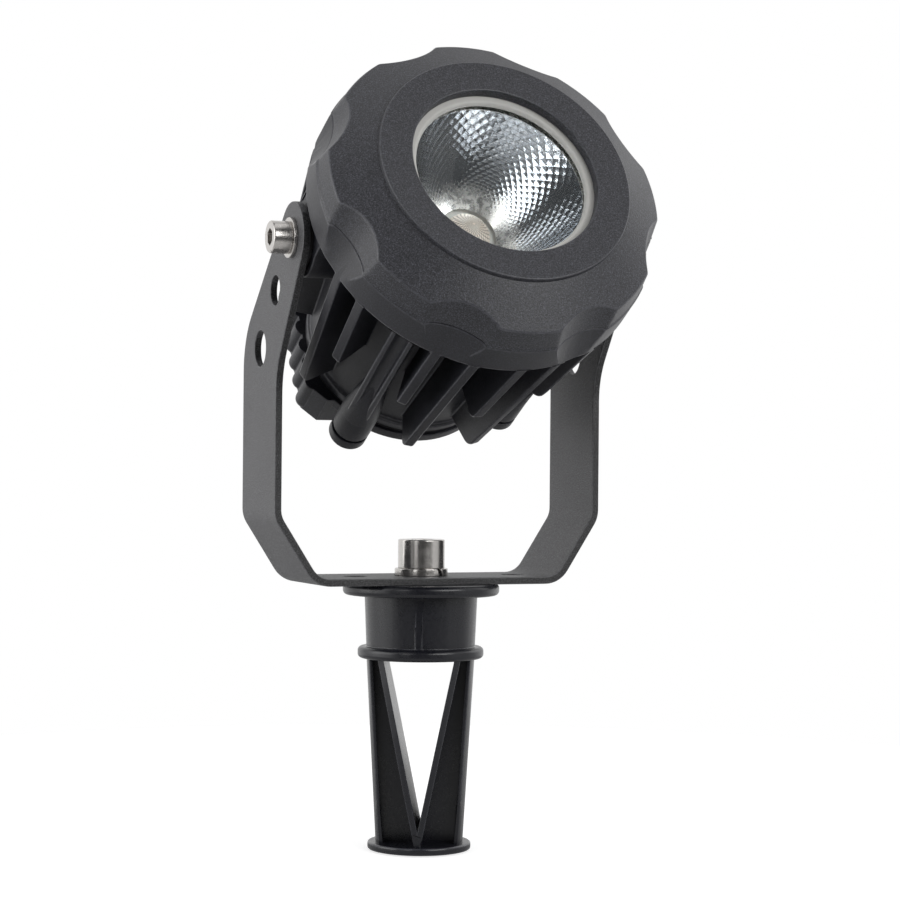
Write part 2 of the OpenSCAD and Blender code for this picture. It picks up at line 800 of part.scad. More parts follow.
module wire_grommet() {
    color(rubber_black) at_head() translate([0, wire_y, floor_low - 1]) difference() {
        union() {
            cylinder(r = 4, h = floor_t + 0.8, $fn = 64);
            cylinder(r = 5, h = 1, $fn = 64);
        }
        for (x = [-wire_x, wire_x]) translate([x, 0, -1])
            cylinder(r = wire_r + 0.1, h = floor_t + 4, $fn = 24);
    }
}

// Driver

module driver_board() {
    color("darkgreen") at_head() translate([-board_w / 2, board_y - board_t, board_back])
        cube([board_w, board_t, board_len]);
}

module transformer() {
    former = coil_w / 14;
    color("darkgoldenrod") at_head() translate([-coil_w - former, board_y, board_back + block_t + 5]) {
        cube([coil_w, coil_h, coil_len]);
        translate([-former, 0, coil_len / 5]) cube([coil_w + 2 * former, coil_h * 5 / 6, coil_len * 3 / 5]);
    }
}

module capacitors() {
    color("midnightblue") at_head() {
        translate([board_w / 2 - 12, board_y + cap_d / 2, board_back + block_t + 6])
            cylinder(r = cap_d / 2, h = cap_len);
        translate([board_w / 2 - 7, board_y + cap_low_d / 2, board_front - 2 - cap_low_d])
            cylinder(r = cap_low_d / 2, h = cap_low_d);
    }
}

module choke() {
    color("saddlebrown") at_head() translate([-9, board_y, board_front - 2 - choke_d / 2])
        rotate([-90, 0, 0]) ring(choke_d / 2, choke_d / 5, 0, 0.6 * choke_d);
}

module terminal_block() {
    color("seagreen") at_head() translate([-block_w / 2, board_y, board_back]) difference() {
        cube([block_w, block_t, block_t]);
        for (x = [block_w / 4, block_w * 3 / 4]) {
            translate([x, block_t * 0.45, -1]) cylinder(r = block_w / 10, h = block_t * 0.75, $fn = 32);
            translate([x, block_t * 0.55, block_t / 2]) rotate([-90, 0, 0])
                cylinder(r = block_w / 11, h = block_t, $fn = 32);
        }
    }
}

// Back cover

module box_outline(grow, h) {
    w = box_w / 2 + grow;
    l = box_l / 2 + grow;
    cut = box_cut;
    linear_extrude(h) polygon([
        [-w, -l + cut], [-w + cut, -l], [w - cut, -l], [w, -l + cut],
        [w, l - cut], [w - cut, l], [-w + cut, l], [-w, l - cut]
    ]);
}

module back_cover() {
    grip_pitch = 6;
    post_y = board_y - board_t / 2;
    color(coat_black) at_head() difference() {
        union() {
            translate([0, 0, cover_low]) cylinder(r = core_back_d / 2 + 0.6, h = plate_t);
            translate([0, 0, cover_low]) box_outline(0, plate_t);
            at_back_screws() translate([0, 0, cover_low]) cylinder(r = ear_end_r, h = plate_t, $fn = 64);
            translate([0, 0, box_low]) box_outline(0, box_h + eps);
            both_sides() for (i = [0:grip_count - 1])
                translate([box_w / 2 - 1, (i - (grip_count - 1) / 2) * grip_pitch, box_low + 2]) {
                    cylinder(r = 2.6, h = box_h + plate_t - 2, $fn = 32);
                    sphere(r = 2.6, $fn = 32);
                }
        }
        difference() {
            translate([0, 0, box_low + box_wall]) box_outline(-box_wall - 2, box_h + plate_t);
            for (x = [-12, 12]) translate([x, post_y, box_low])
                cylinder(r = 2.5, h = board_back - box_low, $fn = 32);
        }
        at_back_screws() translate([0, 0, cover_low - 1]) cylinder(r = cover_hole_d / 2, h = plate_t + 2);
        at_back_screws() translate([0, 0, box_low - 1]) cylinder(r = 3.9, h = box_h + 1, $fn = 48);
        translate([0, gland_up, box_low - 1]) cylinder(r = gland_r + set_gap, h = box_wall + 2);
    }
}

module back_gasket() {
    color(rubber_black) at_head()
        ring(core_back_d / 2 - 0.4, core_back_d / 2 - core_wall, cover_face, -core_back);
}

module back_screws() {
    color(bright_steel) at_head() at_back_screws() {
        translate([0, 0, cover_low - 2.2]) difference() {
            cylinder(r = 3.5, h = 2.2, $fn = 48);
            translate([0, 0, -1]) cylinder(d = 2.9, h = 2.4, $fn = 6);
        }
        translate([0, 0, cover_low - eps]) cylinder(r = 2, h = plate_t + gasket_t + 8, $fn = 48);
    }
}

// Cable gland

gland_top = box_low;
nut_h = 8;
nut_wall = 1.6;
module at_gland() {
    at_head() translate([0, gland_up, gland_top]) mirror([0, 0, 1]) children();
}

module gland_body() {
    color(moulded_black) at_gland() difference() {
        union() {
            translate([0, 0, -box_wall]) cylinder(r = gland_r, h = box_wall + 0.8 + eps);
            translate([0, 0, 0.8]) cylinder(r = gland_flange_r / cos(30) - 0.8, h = 3, $fn = 6);
            translate([0, 0, 3.8 - eps]) cylinder(r = gland_r, h = 4);
        }
        translate([0, 0, -box_wall - 1]) cylinder(r = cable_d / 2, h = 20);
        translate([0, 0, 5.8]) cylinder(r = gland_r - 1.2, h = 4);
    }
}

module gland_ring() {
    color(rubber_black) at_gland() ring(gland_flange_r - 1, gland_r + thread_gap, 0, 0.8);
}

module gland_seal() {
    color(rubber_black) at_gland() ring(gland_r - 1.2 - 0.02, cable_d / 2, 5.8, 7.8 + nut_wall);
}

module gland_nut() {
    color(moulded_black) at_gland() difference() {
        union() {
            translate([0, 0, 4]) cylinder(r = gland_flange_r - 1.2, h = nut_h - 3, $fn = 64);
            translate([0, 0, 1 + nut_h])
                cylinder(r1 = gland_flange_r - 1.2, r2 = gland_r - 0.6, h = 1.8, $fn = 64);
        }
        translate([0, 0, 3]) cylinder(r = gland_r + thread_gap, h = 4.8);
        translate([0, 0, 5]) cylinder(r = gland_r - 1.2 + 0.02, h = 2.8 + nut_wall);
        translate([0, 0, 5]) cylinder(r = cable_d / 2, h = nut_h);
    }
}

stake();
threaded_insert();
base_bolt();
base_spring_washer();
bracket();
pivot_screws();
pivot_washers();
friction_discs();
housing();
bezel();
bezel_seal();
bezel_screws();
front_glass();
glass_seal();
reflector();
led_board();
led_disc();
led_dome();
led_holder();
led_screws();
thermal_pad();
led_wires();
wire_grommet();
driver_board();
transformer();
capacitors();
choke();
terminal_block();
back_cover();
back_gasket();
back_screws();
gland_body();
gland_ring();
gland_seal();
gland_nut();
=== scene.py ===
import math

import bmesh
import bpy
from bpy.props import FloatProperty, FloatVectorProperty, IntProperty, PointerProperty
from mathutils import Matrix, Vector


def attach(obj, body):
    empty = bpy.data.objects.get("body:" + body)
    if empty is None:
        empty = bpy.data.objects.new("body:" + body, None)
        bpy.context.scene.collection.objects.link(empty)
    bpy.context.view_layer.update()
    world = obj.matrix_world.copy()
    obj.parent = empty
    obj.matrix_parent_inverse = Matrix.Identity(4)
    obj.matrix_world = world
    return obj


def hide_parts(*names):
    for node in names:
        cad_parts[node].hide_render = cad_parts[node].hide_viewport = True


bl_info = {
    "name": "Landscape Spotlight",
    "version": (1, 0, 0),
    "blender": (4, 5, 0),
    "location": "View3D > Sidebar > Spotlight",
    "description": "Dresses the solids of a landscape spotlight on a ground stake",
    "category": "Object",
}

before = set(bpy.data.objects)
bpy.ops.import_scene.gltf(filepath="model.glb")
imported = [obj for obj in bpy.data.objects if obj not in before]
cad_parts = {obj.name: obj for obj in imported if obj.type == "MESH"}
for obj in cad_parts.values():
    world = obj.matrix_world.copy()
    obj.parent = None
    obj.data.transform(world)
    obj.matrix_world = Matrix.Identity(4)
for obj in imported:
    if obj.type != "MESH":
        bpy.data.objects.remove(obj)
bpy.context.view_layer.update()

MM = 0.001
BEAM_TILT = 30.0  # degrees over level
PIVOT = Vector((0.0, -26.5, 165.3)) * MM
# From the beam's own axes, with the pivot at their origin and Z along the beam, to the lamp's
HEAD = Matrix.Translation(PIVOT) @ Matrix.Rotation(math.radians(90.0 - BEAM_TILT), 4, "X")


# ---- Settings

def size(name, text, value, low, high):
    """A length in metres that a user may change."""
    return FloatProperty(
        name=name, description=text, default=value, min=low, max=high, unit="LENGTH", precision=5)


def level(name, text, value, low=0.0, high=3.0):
    """A plain number that a user may change."""
    return FloatProperty(name=name, description=text, default=value, min=low, max=high)


def colour(name, text, value):
    """A plain colour that a user may change."""
    return FloatVectorProperty(
        name=name, description=text, default=value, min=0.0, max=1.0, size=3, subtype="COLOR")


class SpotlightSizes(bpy.types.PropertyGroup):
    """Sizes of the finer shapes on the lamp"""
    edge_round: size("Edge Rounding", "Rounding of the castings' edges", 0.0005, 0.0001, 0.0008)
    plate_round: size("Plate Rounding", "Rounding of the bracket's and stake's edges", 0.0003, 0.0001, 0.0008)
    facets_round: IntProperty(
        name="Facets Round", description="Facets in one turn of the mirror", default=48, min=24, max=90)
    facet_bulge: size("Facet Bulge", "Height of the pillow on each mirror facet", 0.00009, 0.0, 0.001)
    scoop_round: size("Scoop Edge", "Rounding of the edges of the bezel's scoops", 0.0004, 0.0001, 0.001)


class SpotlightColours(bpy.types.PropertyGroup):
    """Colours of the lamp's finishes"""
    bezel: colour("Bezel Coat", "Powder coat of the front ring", (0.021, 0.0215, 0.0262))
    housing: colour("Housing Coat", "Powder coat of the housing", (0.0122, 0.0125, 0.0166))
    bracket: colour("Bracket Coat", "Powder coat of the bracket", (0.05, 0.05, 0.0532))
    stake: colour("Stake Plastic", "Moulded plastic of the stake", (0.0066, 0.007, 0.0108))
    steel: colour("Steel", "Bright steel of the bolt and screws", (0.56, 0.54, 0.52))
    seal: colour("Seal", "Pale seal over the glass", (0.55, 0.545, 0.52))
    mirror: colour("Mirror", "Metal film on the mirror", (0.88, 0.91, 0.95))
    dome: colour("Dome", "Dimpled dome over the light source", (0.8, 0.75, 0.69))
    phosphor: colour("Luminous Disc", "Yellow layer of the light source", (0.86, 0.62, 0.12))


class SpotlightStage(bpy.types.PropertyGroup):
    """Level of the light and the camera's lens"""
    backdrop: level("Backdrop", "Light from the white backdrop", 0.48)
    room: level("Room", "Light from the room before the lamp", 0.65)
    shade: level("Shade", "Light from the dark part by the camera", 0.07)
    lens: level("Lens", "Focal length in millimetres", 92.661, 20.0, 200.0)


# ---- Node helpers

class Nodes:
    """Adds nodes and links to one tree."""

    def __init__(self, tree):
        self.tree = tree

    def add(self, kind, values=None, **settings):
        """A new node with its settings and its inputs' values."""
        node = self.tree.nodes.new(kind)
        for key, value in settings.items():
            setattr(node, key, value)
        for key, value in (values or {}).items():
            self.put(node.inputs[key], value)
        return node

    def first(self, kind, values=None, **settings):
        """The first output of a new node."""
        return self.add(kind, values, **settings).outputs[0]

    def put(self, socket, value):
        """Sets a socket, or links it when the value is another socket."""
        if isinstance(value, bpy.types.NodeSocket):
            self.tree.links.new(value, socket)
        else:
            socket.default_value = value

    def math(self, operation, *values, clamp=False):
        node = self.tree.nodes.new("ShaderNodeMath")
        node.operation = operation
        node.use_clamp = clamp
        for socket, value in zip(node.inputs, values):
            self.put(socket, value)
        return node.outputs[0]

    def times(self, a, b, clamp=False):
        return self.math("MULTIPLY", a, b, clamp=clamp)

    def vary(self, noise, amount, middle):
        """A middle value, moved up and down by a noise."""
        return self.math("MULTIPLY_ADD", self.math("SUBTRACT", noise, 0.5), amount, middle)

    def mix(self, factor, a, b, blend="MIX"):
        """Mixes two colours."""
        node = self.tree.nodes.new("ShaderNodeMix")
        node.data_type = "RGBA"
        node.blend_type = blend
        for socket, value in zip((node.inputs[0], node.inputs[6], node.inputs[7]), (factor, a, b)):
            self.put(socket, value)
        return node.outputs[2]

    def mix_numbers(self, factor, a, b):
        return self.first("ShaderNodeMix", {0: factor, 2: a, 3: b})

    def ramp(self, value, *stops):
        """Maps value through (position, level) stops."""
        node = self.tree.nodes.new("ShaderNodeValToRGB")
        points = node.color_ramp.elements
        while len(points) < len(stops):
            points.new(0.5)
        for point, (place, grey) in zip(points, stops):
            point.position = place
            point.color = (grey, grey, grey, 1.0)
        self.put(node.inputs[0], value)
        return node.outputs[0]

    def soft_step(self, value, start, end, low, high):
        """Goes softly from low to high while value goes from start to end."""
        return self.first("ShaderNodeMapRange", {
            "Value": value, "From Min": start, "From Max": end, "To Min": low, "To Max": high},
            interpolation_type="SMOOTHSTEP")

    def place(self):
        """The object's own coordinates."""
        return self.add("ShaderNodeTexCoord").outputs["Object"]

    def mark(self, name):
        """A level stored on the piece's mesh."""
        return self.add("ShaderNodeAttribute", attribute_name=name).outputs["Fac"]

    def noise(self, place, scale, detail, roughness=0.5):
        return self.first("ShaderNodeTexNoise", {
            "Vector": place, "Scale": scale, "Detail": detail, "Roughness": roughness})


def sockets(tree, *rows):
    """Declares a group's sockets from (name, direction, kind, default) rows."""
    for name, direction, kind, value in rows:
        socket = tree.interface.new_socket(name, in_out=direction, socket_type="NodeSocket" + kind)
        if value is not None:
            socket.default_value = value


COLOUR_IN = ("Color", "INPUT", "Color", None)
COLOUR_OUT = ("Color", "OUTPUT", "Color", None)
ROUGH_OUT = ("Roughness", "OUTPUT", "Float", None)
HEIGHT_OUT = ("Height", "OUTPUT", "Float", None)


def shader_group(name, *rows):
    """A new shader node group with its sockets, and the nodes at its ends."""
    tree = bpy.data.node_groups.new(name, "ShaderNodeTree")
    sockets(tree, *rows)
    n = Nodes(tree)
    return n, n.add("NodeGroupInput").outputs, n.add("NodeGroupOutput").inputs, tree


# Powder coat: scale of its broad clouds and what they add to colour and roughness; scale of the
# cells and of the bright flecks, which are painted glints, against the grain's, the cells' height and the
# flecks' gain; roughness of pimples
CLOUD_SCALE, CLOUD_TINT, CLOUD_ROUGH = 60.0, 0.12, 0.1
CELL_SHARE, CELL_HEIGHT, GLINT_FLECK_SHARE, GLINT_FLECK_GAIN = 0.55, 0.5, 1.4, 2.6
PIMPLE_ROUGH = 0.06


def grain_group():
    """Fine grain of a powder coat: speckle in the colour, bright flecks painted as glints, and pimples in the
    height.
    """
    n, given, out, tree = shader_group(
        "Coat Grain", COLOUR_IN, ("Grain Size", "INPUT", "Float", 0.0004),
        ("Speckle", "INPUT", "Float", 0.2), ("Roughness", "INPUT", "Float", 0.5),
        COLOUR_OUT, ROUGH_OUT, HEIGHT_OUT)
    place = n.place()
    fine = n.math("DIVIDE", 1.0, given["Grain Size"])
    pimples = n.noise(place, fine, 2.0, 0.6)
    cells = n.first("ShaderNodeTexVoronoi", {"Vector": place, "Scale": n.times(fine, CELL_SHARE)})
    clouds = n.noise(place, CLOUD_SCALE, 3.0)
    dots = n.ramp(pimples, (0.38, 0.0), (0.64, 1.0))
    light = n.vary(clouds, CLOUD_TINT, n.vary(dots, given["Speckle"], 1.0))
    # painted glints: bright flecks in the colour stand in for glints off the grain
    glint_flecks = n.ramp(n.noise(place, n.times(fine, GLINT_FLECK_SHARE), 1.0), (0.48, 0.0), (0.72, 1.0))
    light = n.math("MULTIPLY_ADD", n.times(glint_flecks, given["Speckle"]), GLINT_FLECK_GAIN, light)
    n.put(out["Color"], n.mix(1.0, given["Color"], light, "MULTIPLY"))
    rough = n.vary(clouds, CLOUD_ROUGH, given["Roughness"])
    n.put(out["Roughness"], n.math("MULTIPLY_ADD", dots, PIMPLE_ROUGH, rough, clamp=True))
    n.put(out["Height"], n.math("ADD", pimples, n.times(cells, CELL_HEIGHT)))
    return tree


# Painted edge highlights: scale of the noise that breaks them up, and the roughness they take off
HIGHLIGHT_PATCH_SCALE, HIGHLIGHT_SHINE = 900.0, -0.15


def edge_highlight_group():
    """Painted highlights along the rounded edges, from the piece's own edge attribute, broken up by noise."""
    n, given, out, tree = shader_group(
        "Edge Highlight", COLOUR_IN, ("Highlight Color", "INPUT", "Color", None),
        ("Amount", "INPUT", "Float", 0.5), ("Roughness", "INPUT", "Float", 0.5), COLOUR_OUT, ROUGH_OUT)
    patches = n.ramp(n.noise(n.place(), HIGHLIGHT_PATCH_SCALE, 4.0), (0.3, 0.35), (0.62, 1.0))
    # painted highlight: the rounded edges are lightened where they would catch the light
    edge_highlight = n.times(n.times(n.mark("edge"), patches), given["Amount"], clamp=True)
    n.put(out["Color"], n.mix(edge_highlight, given["Color"], given["Highlight Color"]))
    n.put(out["Roughness"], n.math("MULTIPLY_ADD", edge_highlight, HIGHLIGHT_SHINE, given["Roughness"], clamp=True))
    return tree


SCRATCH_SCALE, SCRATCH_ROUGH = 350.0, 0.25
LINE_TINT, LINE_ROUGH = 0.25, 0.05


def turned_group():
    """Fine turned lines round the local Z axis, with faint scratches."""
    n, given, out, tree = shader_group(
        "Turned Metal", ("Vector", "INPUT", "Vector", None), COLOUR_IN, ("Lines", "INPUT", "Float", 4000.0),
        ("Roughness", "INPUT", "Float", 0.2), COLOUR_OUT, ROUGH_OUT, HEIGHT_OUT)
    part = n.add("ShaderNodeSeparateXYZ", {"Vector": given["Vector"]}).outputs
    away = n.math("SQRT", n.math("ADD", n.math("POWER", part[0], 2.0), n.math("POWER", part[1], 2.0)))
    rings = n.noise(n.first("ShaderNodeCombineXYZ", {"X": away, "Y": part[2]}), given["Lines"], 2.0)
    scratches = n.noise(given["Vector"], SCRATCH_SCALE, 5.0)
    n.put(out["Color"], n.mix(1.0, given["Color"], n.vary(rings, LINE_TINT, 1.0), "MULTIPLY"))
    rough = n.vary(scratches, SCRATCH_ROUGH, given["Roughness"])
    n.put(out["Roughness"], n.math("MULTIPLY_ADD", rings, LINE_ROUGH, rough, clamp=True))
    n.put(out["Height"], rings)
    return tree


# ---- Mesh helpers

def new_mesh(name, bm):
    """A mesh from a bmesh, which is freed."""
    mesh = bpy.data.meshes.new(name)
    bm.to_mesh(mesh)
    bm.free()
    return mesh


def joined(*meshes):
    """One mesh from several: the first takes in the others, which are removed."""
    bm = bmesh.new()
    for mesh in meshes:
        bm.from_mesh(mesh)
    for mesh in meshes[1:]:
        bpy.data.meshes.remove(mesh)
    bm.to_mesh(meshes[0])
    bm.free()
    return meshes[0]


def bake_modifiers(obj):
    """Turns what the modifiers make into the object's own plain mesh."""
    graph = bpy.context.evaluated_depsgraph_get()
    mesh = bpy.data.meshes.new_from_object(
        obj.evaluated_get(graph), preserve_all_data_layers=True, depsgraph=graph)
    obj.modifiers.clear()
    old, obj.data = obj.data, mesh
    mesh.name = old.name
    bpy.data.meshes.remove(old)


def add_piece(name, mesh, body, finish, *nodes, smooth=40.0):
    """Shows a finished mesh as a piece that rides on a body and stands for the named solids."""
    mesh.materials.clear()
    mesh.materials.append(finishes[finish])
    mesh.shade_smooth()
    mesh.set_sharp_from_angle(angle=math.radians(smooth))
    obj = bpy.data.objects.new(name, mesh)
    bpy.context.scene.collection.objects.link(obj)
    weighted = obj.modifiers.new("Weighted Normal", "WEIGHTED_NORMAL")
    weighted.keep_sharp = True
    bake_modifiers(obj)
    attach(obj, body)
    if nodes:
        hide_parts(*nodes)


def mark_edges(bm, faces):
    """Writes the edge attribute: 1 along the middle of the rounded edges, 0 elsewhere."""
    layer = bm.verts.layers.float.new("edge")
    made = set(faces)
    for face in faces:
        for vert in face.verts:
            if all(link in made for link in vert.link_faces):
                vert[layer] = 1.0


def mark_shaded_cut_faces(mesh):
    """Marks the faces that look along Y, which were cut through the plate; the bracket's coat paints shade on
    them.
    """
    layer = mesh.attributes.new("cut", "FLOAT", "FACE")
    for item, face in zip(layer.data, mesh.polygons):
        item.value = 1.0 if abs(face.normal.y) > 0.8 else 0.0


WELD, SLIVER = 2e-6, 2e-5
FLAT_ANGLE, SHARP_ANGLE = math.radians(1.0), math.radians(28.0)


def rounded_copy(node, width, above=-1.0):
    """A welded copy of a solid with its sharp edges above a height rounded and marked."""
    bm = bmesh.new()
    bm.from_mesh(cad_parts[node].data)
    bmesh.ops.remove_doubles(bm, verts=bm.verts, dist=WELD)
    bmesh.ops.dissolve_limit(bm, angle_limit=FLAT_ANGLE, verts=bm.verts, edges=bm.edges)
    bmesh.ops.dissolve_degenerate(bm, dist=SLIVER, edges=bm.edges)
    sharp = [e for e in bm.edges if len(e.link_faces) == 2 and e.calc_face_angle(0.0) > SHARP_ANGLE
             and min(v.co.z for v in e.verts) > above]
    made = bmesh.ops.bevel(
        bm, geom=sharp, offset=width, offset_type="OFFSET", segments=2, profile=0.5,
        affect="EDGES", clamp_overlap=False, loop_slide=True, material=-1)
    mark_edges(bm, made["faces"])
    return new_mesh(node, bm)


def loft(name, rings, count, matrix, close=False):
    """A skin over rings of (radius, height, edge mark) in millimetres, closed to a loop or capped.

    A radius or a height may be a function of the angle, and a mark may be left out.
    """
    bm = bmesh.new()
    layer = bm.verts.layers.float.new("edge")
    rows = []
    for radius, height, *mark in rings:
        row = []
        for i in range(count):
            angle = math.tau * i / count
            r = radius(angle) if callable(radius) else radius
            h = height(angle) if callable(height) else height
            vert = bm.verts.new(Vector((r * math.cos(angle), r * math.sin(angle), h)) * MM)
            vert[layer] = mark[0] if mark else 0.0
            row.append(vert)
        rows.append(row)
    pairs = list(zip(rows, rows[1:]))
    if close:
        pairs.append((rows[-1], rows[0]))
    for low, high in pairs:
        for i in range(count):
            j = (i + 1) % count
            bm.faces.new((low[i], low[j], high[j], high[i]))
    if not close:
        bm.faces.new(list(reversed(rows[0])))
        bm.faces.new(rows[-1])
    bm.transform(matrix)
    bmesh.ops.recalc_face_normals(bm, faces=bm.faces)
    return new_mesh(name, bm)


def on_curve(a, b, c, t):
    """A point on the curve from a to c that leans towards b."""
    return (1 - t) ** 2 * a + 2 * t * (1 - t) * b + t * t * c


def soften(points, reach, steps=3, skip=()):
    """Rounds the corners of a closed outline of (radius, height) points, and marks them."""
    out = []
    count = len(points)
    for i, here in enumerate(points):
        before, after = Vector(points[i - 1]), Vector(points[(i + 1) % count])
        spot = Vector(here)
        if i in skip:
            out.append((*here, 0.0))
            continue
        cut = min(reach, 0.45 * (before - spot).length, 0.45 * (after - spot).length)
        a = spot + (before - spot).normalized() * cut
        b = spot + (after - spot).normalized() * cut
        for k in range(steps + 1):
            point = on_curve(a, spot, b, k / steps)
            out.append((point.x, point.y, 1.0 if 0 < k < steps else 0.0))
    return out


def first_solid(mesh):
    """Keeps only the solid that holds the mesh's first point."""
    bm = bmesh.new()
    bm.from_mesh(mesh)
    bm.verts.ensure_lookup_table()
    kept, edge = {bm.verts[0]}, [bm.verts[0]]
    while edge:
        vert = edge.pop()
        for link in vert.link_edges:
            other = link.other_vert(vert)
            if other not in kept:
                kept.add(other)
                edge.append(other)
    bmesh.ops.delete(bm, geom=[v for v in bm.verts if v not in kept], context="VERTS")
    bm.to_mesh(mesh)
    bm.free()


def head_span(node):
    """Lowest and highest place of a node along the beam, from the pivot, in metres."""
    back = HEAD.inverted()
    heights = [(back @ vert.co).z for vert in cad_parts[node].data.vertices]
    return min(heights), max(heights)


# ---- Materials

finishes = {}

made_groups = {}


def group(n, name, values):
    """Places a shared effect in a material."""
    makers = {"Coat Grain": grain_group, "Edge Highlight": edge_highlight_group, "Turned Metal": turned_group}
    if name not in made_groups:
        made_groups[name] = makers[name]()
    return n.add("ShaderNodeGroup", values, node_tree=made_groups[name]).outputs


def new_material(slot):
    """A slot's new material, kept in finishes; gives its nodes and its Principled shader's inputs."""
    material = bpy.data.materials.new(slot.replace("_", " ").title())
    material.use_nodes = True
    finishes[slot] = material
    return Nodes(material.node_tree), material.node_tree.nodes["Principled BSDF"].inputs


def four(values):
    """Red, green and blue with full alpha."""
    return (*values, 1.0)


def bump(n, shader, height, strength, distance):
    """Gives a shader the relief of a height."""
    n.put(shader["Normal"], n.first("ShaderNodeBump", {
        "Height": height, "Strength": strength, "Distance": distance}))


# Cut faces: share of the coat's colour left under their painted shade, and added speckle. Painted edge
# highlights: gain and lift over the coat.
CUT_SHADE_SHARE, CUT_SPECKLE = 0.12, 1.6
HIGHLIGHT_GAIN, HIGHLIGHT_LIFT = 3.0, 0.04


def coat_material(slot, base, speckle, rough, grain=0.0004, edge_highlight=0.8, relief=0.00006, cut=0.0):
    """Powder coat with speckle, pimples and painted highlights along its rounded edges, with painted shade on
    faces marked as cut.
    """
    n, shader = new_material(slot)
    paint, amount = four(base), speckle
    if cut:
        # painted shade: the cut faces that look along Y are darkened as if in shade
        marked = n.mark("cut")
        paint = n.mix(n.times(marked, cut), paint, four(c * CUT_SHADE_SHARE for c in base))
        amount = n.math("MULTIPLY_ADD", marked, CUT_SPECKLE, speckle)
    grainy = group(n, "Coat Grain", {
        "Color": paint, "Grain Size": grain, "Speckle": amount, "Roughness": rough})
    # pale is the colour of the painted highlights along the rounded edges
    pale = four(min(1.0, HIGHLIGHT_GAIN * c + HIGHLIGHT_LIFT) for c in base)
    edges = group(n, "Edge Highlight", {
        "Color": grainy["Color"], "Highlight Color": pale, "Amount": edge_highlight, "Roughness": grainy["Roughness"]})
    n.put(shader["Base Color"], edges["Color"])
    n.put(shader["Roughness"], edges["Roughness"])
    bump(n, shader, grainy["Height"], 0.5, relief)


def steel_material(slot, base, centre, turn=(0.0, 0.0, 0.0), rough=0.2):
    """Bright steel, turned round the axis through centre."""
    n, shader = new_material(slot)
    moved = n.first("ShaderNodeMapping", {
        "Vector": n.place(), "Location": centre, "Rotation": turn}, vector_type="TEXTURE")
    turned = group(n, "Turned Metal", {
        "Vector": moved, "Color": four(base), "Lines": 4500.0, "Roughness": rough})
    n.put(shader["Base Color"], turned["Color"])
    n.put(shader["Roughness"], turned["Roughness"])
    shader["Metallic"].default_value = 1.0
    bump(n, shader, turned["Height"], 0.3, 0.00001)


def plain_material(slot, base, rough, mottled=0.3, scale=300.0):
    """Plain stuff, with mottled colour and a faint relief."""
    n, shader = new_material(slot)
    noise = n.noise(n.place(), scale, 5.0, 0.6)
    n.put(shader["Base Color"], n.mix(1.0, four(base), n.vary(noise, mottled, 1.0), "MULTIPLY"))
    n.put(shader["Roughness"], n.math("MULTIPLY_ADD", noise, 0.2, rough - 0.1, clamp=True))
    bump(n, shader, noise, 0.3, 0.00003)


def painted_crease_shade(n, power, amount):
    """A mask of painted shade along the creases between facets, from the piece's edge attribute."""
    return n.times(n.math("POWER", n.mark("edge"), power), amount, clamp=True)


DOME_WARMTH = (1.0, 0.86, 0.74)


def dome_material(slot, base):
    """Pale moulded lens with a net of painted shade along the creases between its dimples, and a warm cast
    that comes and goes at random.
    """
    n, shader = new_material(slot)
    cloud = n.noise(n.place(), 400.0, 3.0)
    tinted = n.mix(cloud, four(base), four(c * warm for c, warm in zip(base, DOME_WARMTH)))
    # painted shade: the creases between the dimples are darkened into a net
    n.put(shader["Base Color"], n.mix(painted_crease_shade(n, 2.0, 0.9), tinted, four(c * 0.2 for c in base)))
    n.put(shader["Roughness"], n.math("MULTIPLY_ADD", cloud, 0.15, 0.12, clamp=True))


# The mirror's satin zone: its colour, the climb at which it starts to fade and ends, and its rags
SATIN_COLOUR = (0.97, 0.95, 0.92, 1.0)
SATIN_FULL, SATIN_GONE, SATIN_RAGS = 0.25, 0.42, 0.6


def mirror_material(slot, base):
    """Metal film, nearly flawless, with a pale satin zone low round the dome and painted shade along the
    creases between its facets.
    """
    n, shader = new_material(slot)
    place = n.place()
    haze = n.noise(place, 220.0, 4.0)
    rags = n.noise(place, 700.0, 3.0)
    satin = n.ramp(n.vary(rags, SATIN_RAGS, n.mark("climb")), (SATIN_FULL, 1.0), (SATIN_GONE, 0.0))
    film = n.mix(satin, n.mix(haze, four(base), four(c * 0.86 for c in base)), SATIN_COLOUR)
    # painted shade along the creases between facets, stronger in the satin zone
    crease_shade = n.math("MULTIPLY_ADD", satin, 2.0, 1.0)
    crease_shade = n.times(painted_crease_shade(n, 4.0, 0.25), crease_shade, clamp=True)
    n.put(shader["Base Color"], n.mix(crease_shade, film, four(c * 0.3 for c in base)))
    smooth = n.math("MULTIPLY_ADD", haze, 0.05, 0.01)
    blur = n.times(satin, n.math("MULTIPLY_ADD", rags, 0.5, -0.02))
    n.put(shader["Roughness"], n.math("ADD", blur, smooth, clamp=True))
    shader["Metallic"].default_value = 1.0


def glass_material(slot, tint):
    """Clear glass that lets light through to what is behind it."""
    n, shader = new_material(slot)
    film = n.times(n.noise(n.place(), 45.0, 3.0), 0.4)
    n.put(shader["Base Color"], n.mix(film, four(tint), (1.0, 1.0, 1.0, 1.0)))
    shader["Roughness"].default_value = 0.0
    shader["Transmission Weight"].default_value = 1.0
    shader["IOR"].default_value = 1.3
    ray = n.add("ShaderNodeLightPath").outputs
    both = n.add("ShaderNodeMixShader", {0: n.math("MAXIMUM", ray["Is Shadow Ray"], ray["Is Diffuse Ray"])})
    nodes = n.tree.nodes
    n.put(both.inputs[1], nodes["Principled BSDF"].outputs[0])
    n.put(both.inputs[2], n.first("ShaderNodeBsdfTransparent", {"Color": four(tint)}))
    n.put(nodes["Material Output"].inputs["Surface"], both.outputs[0])


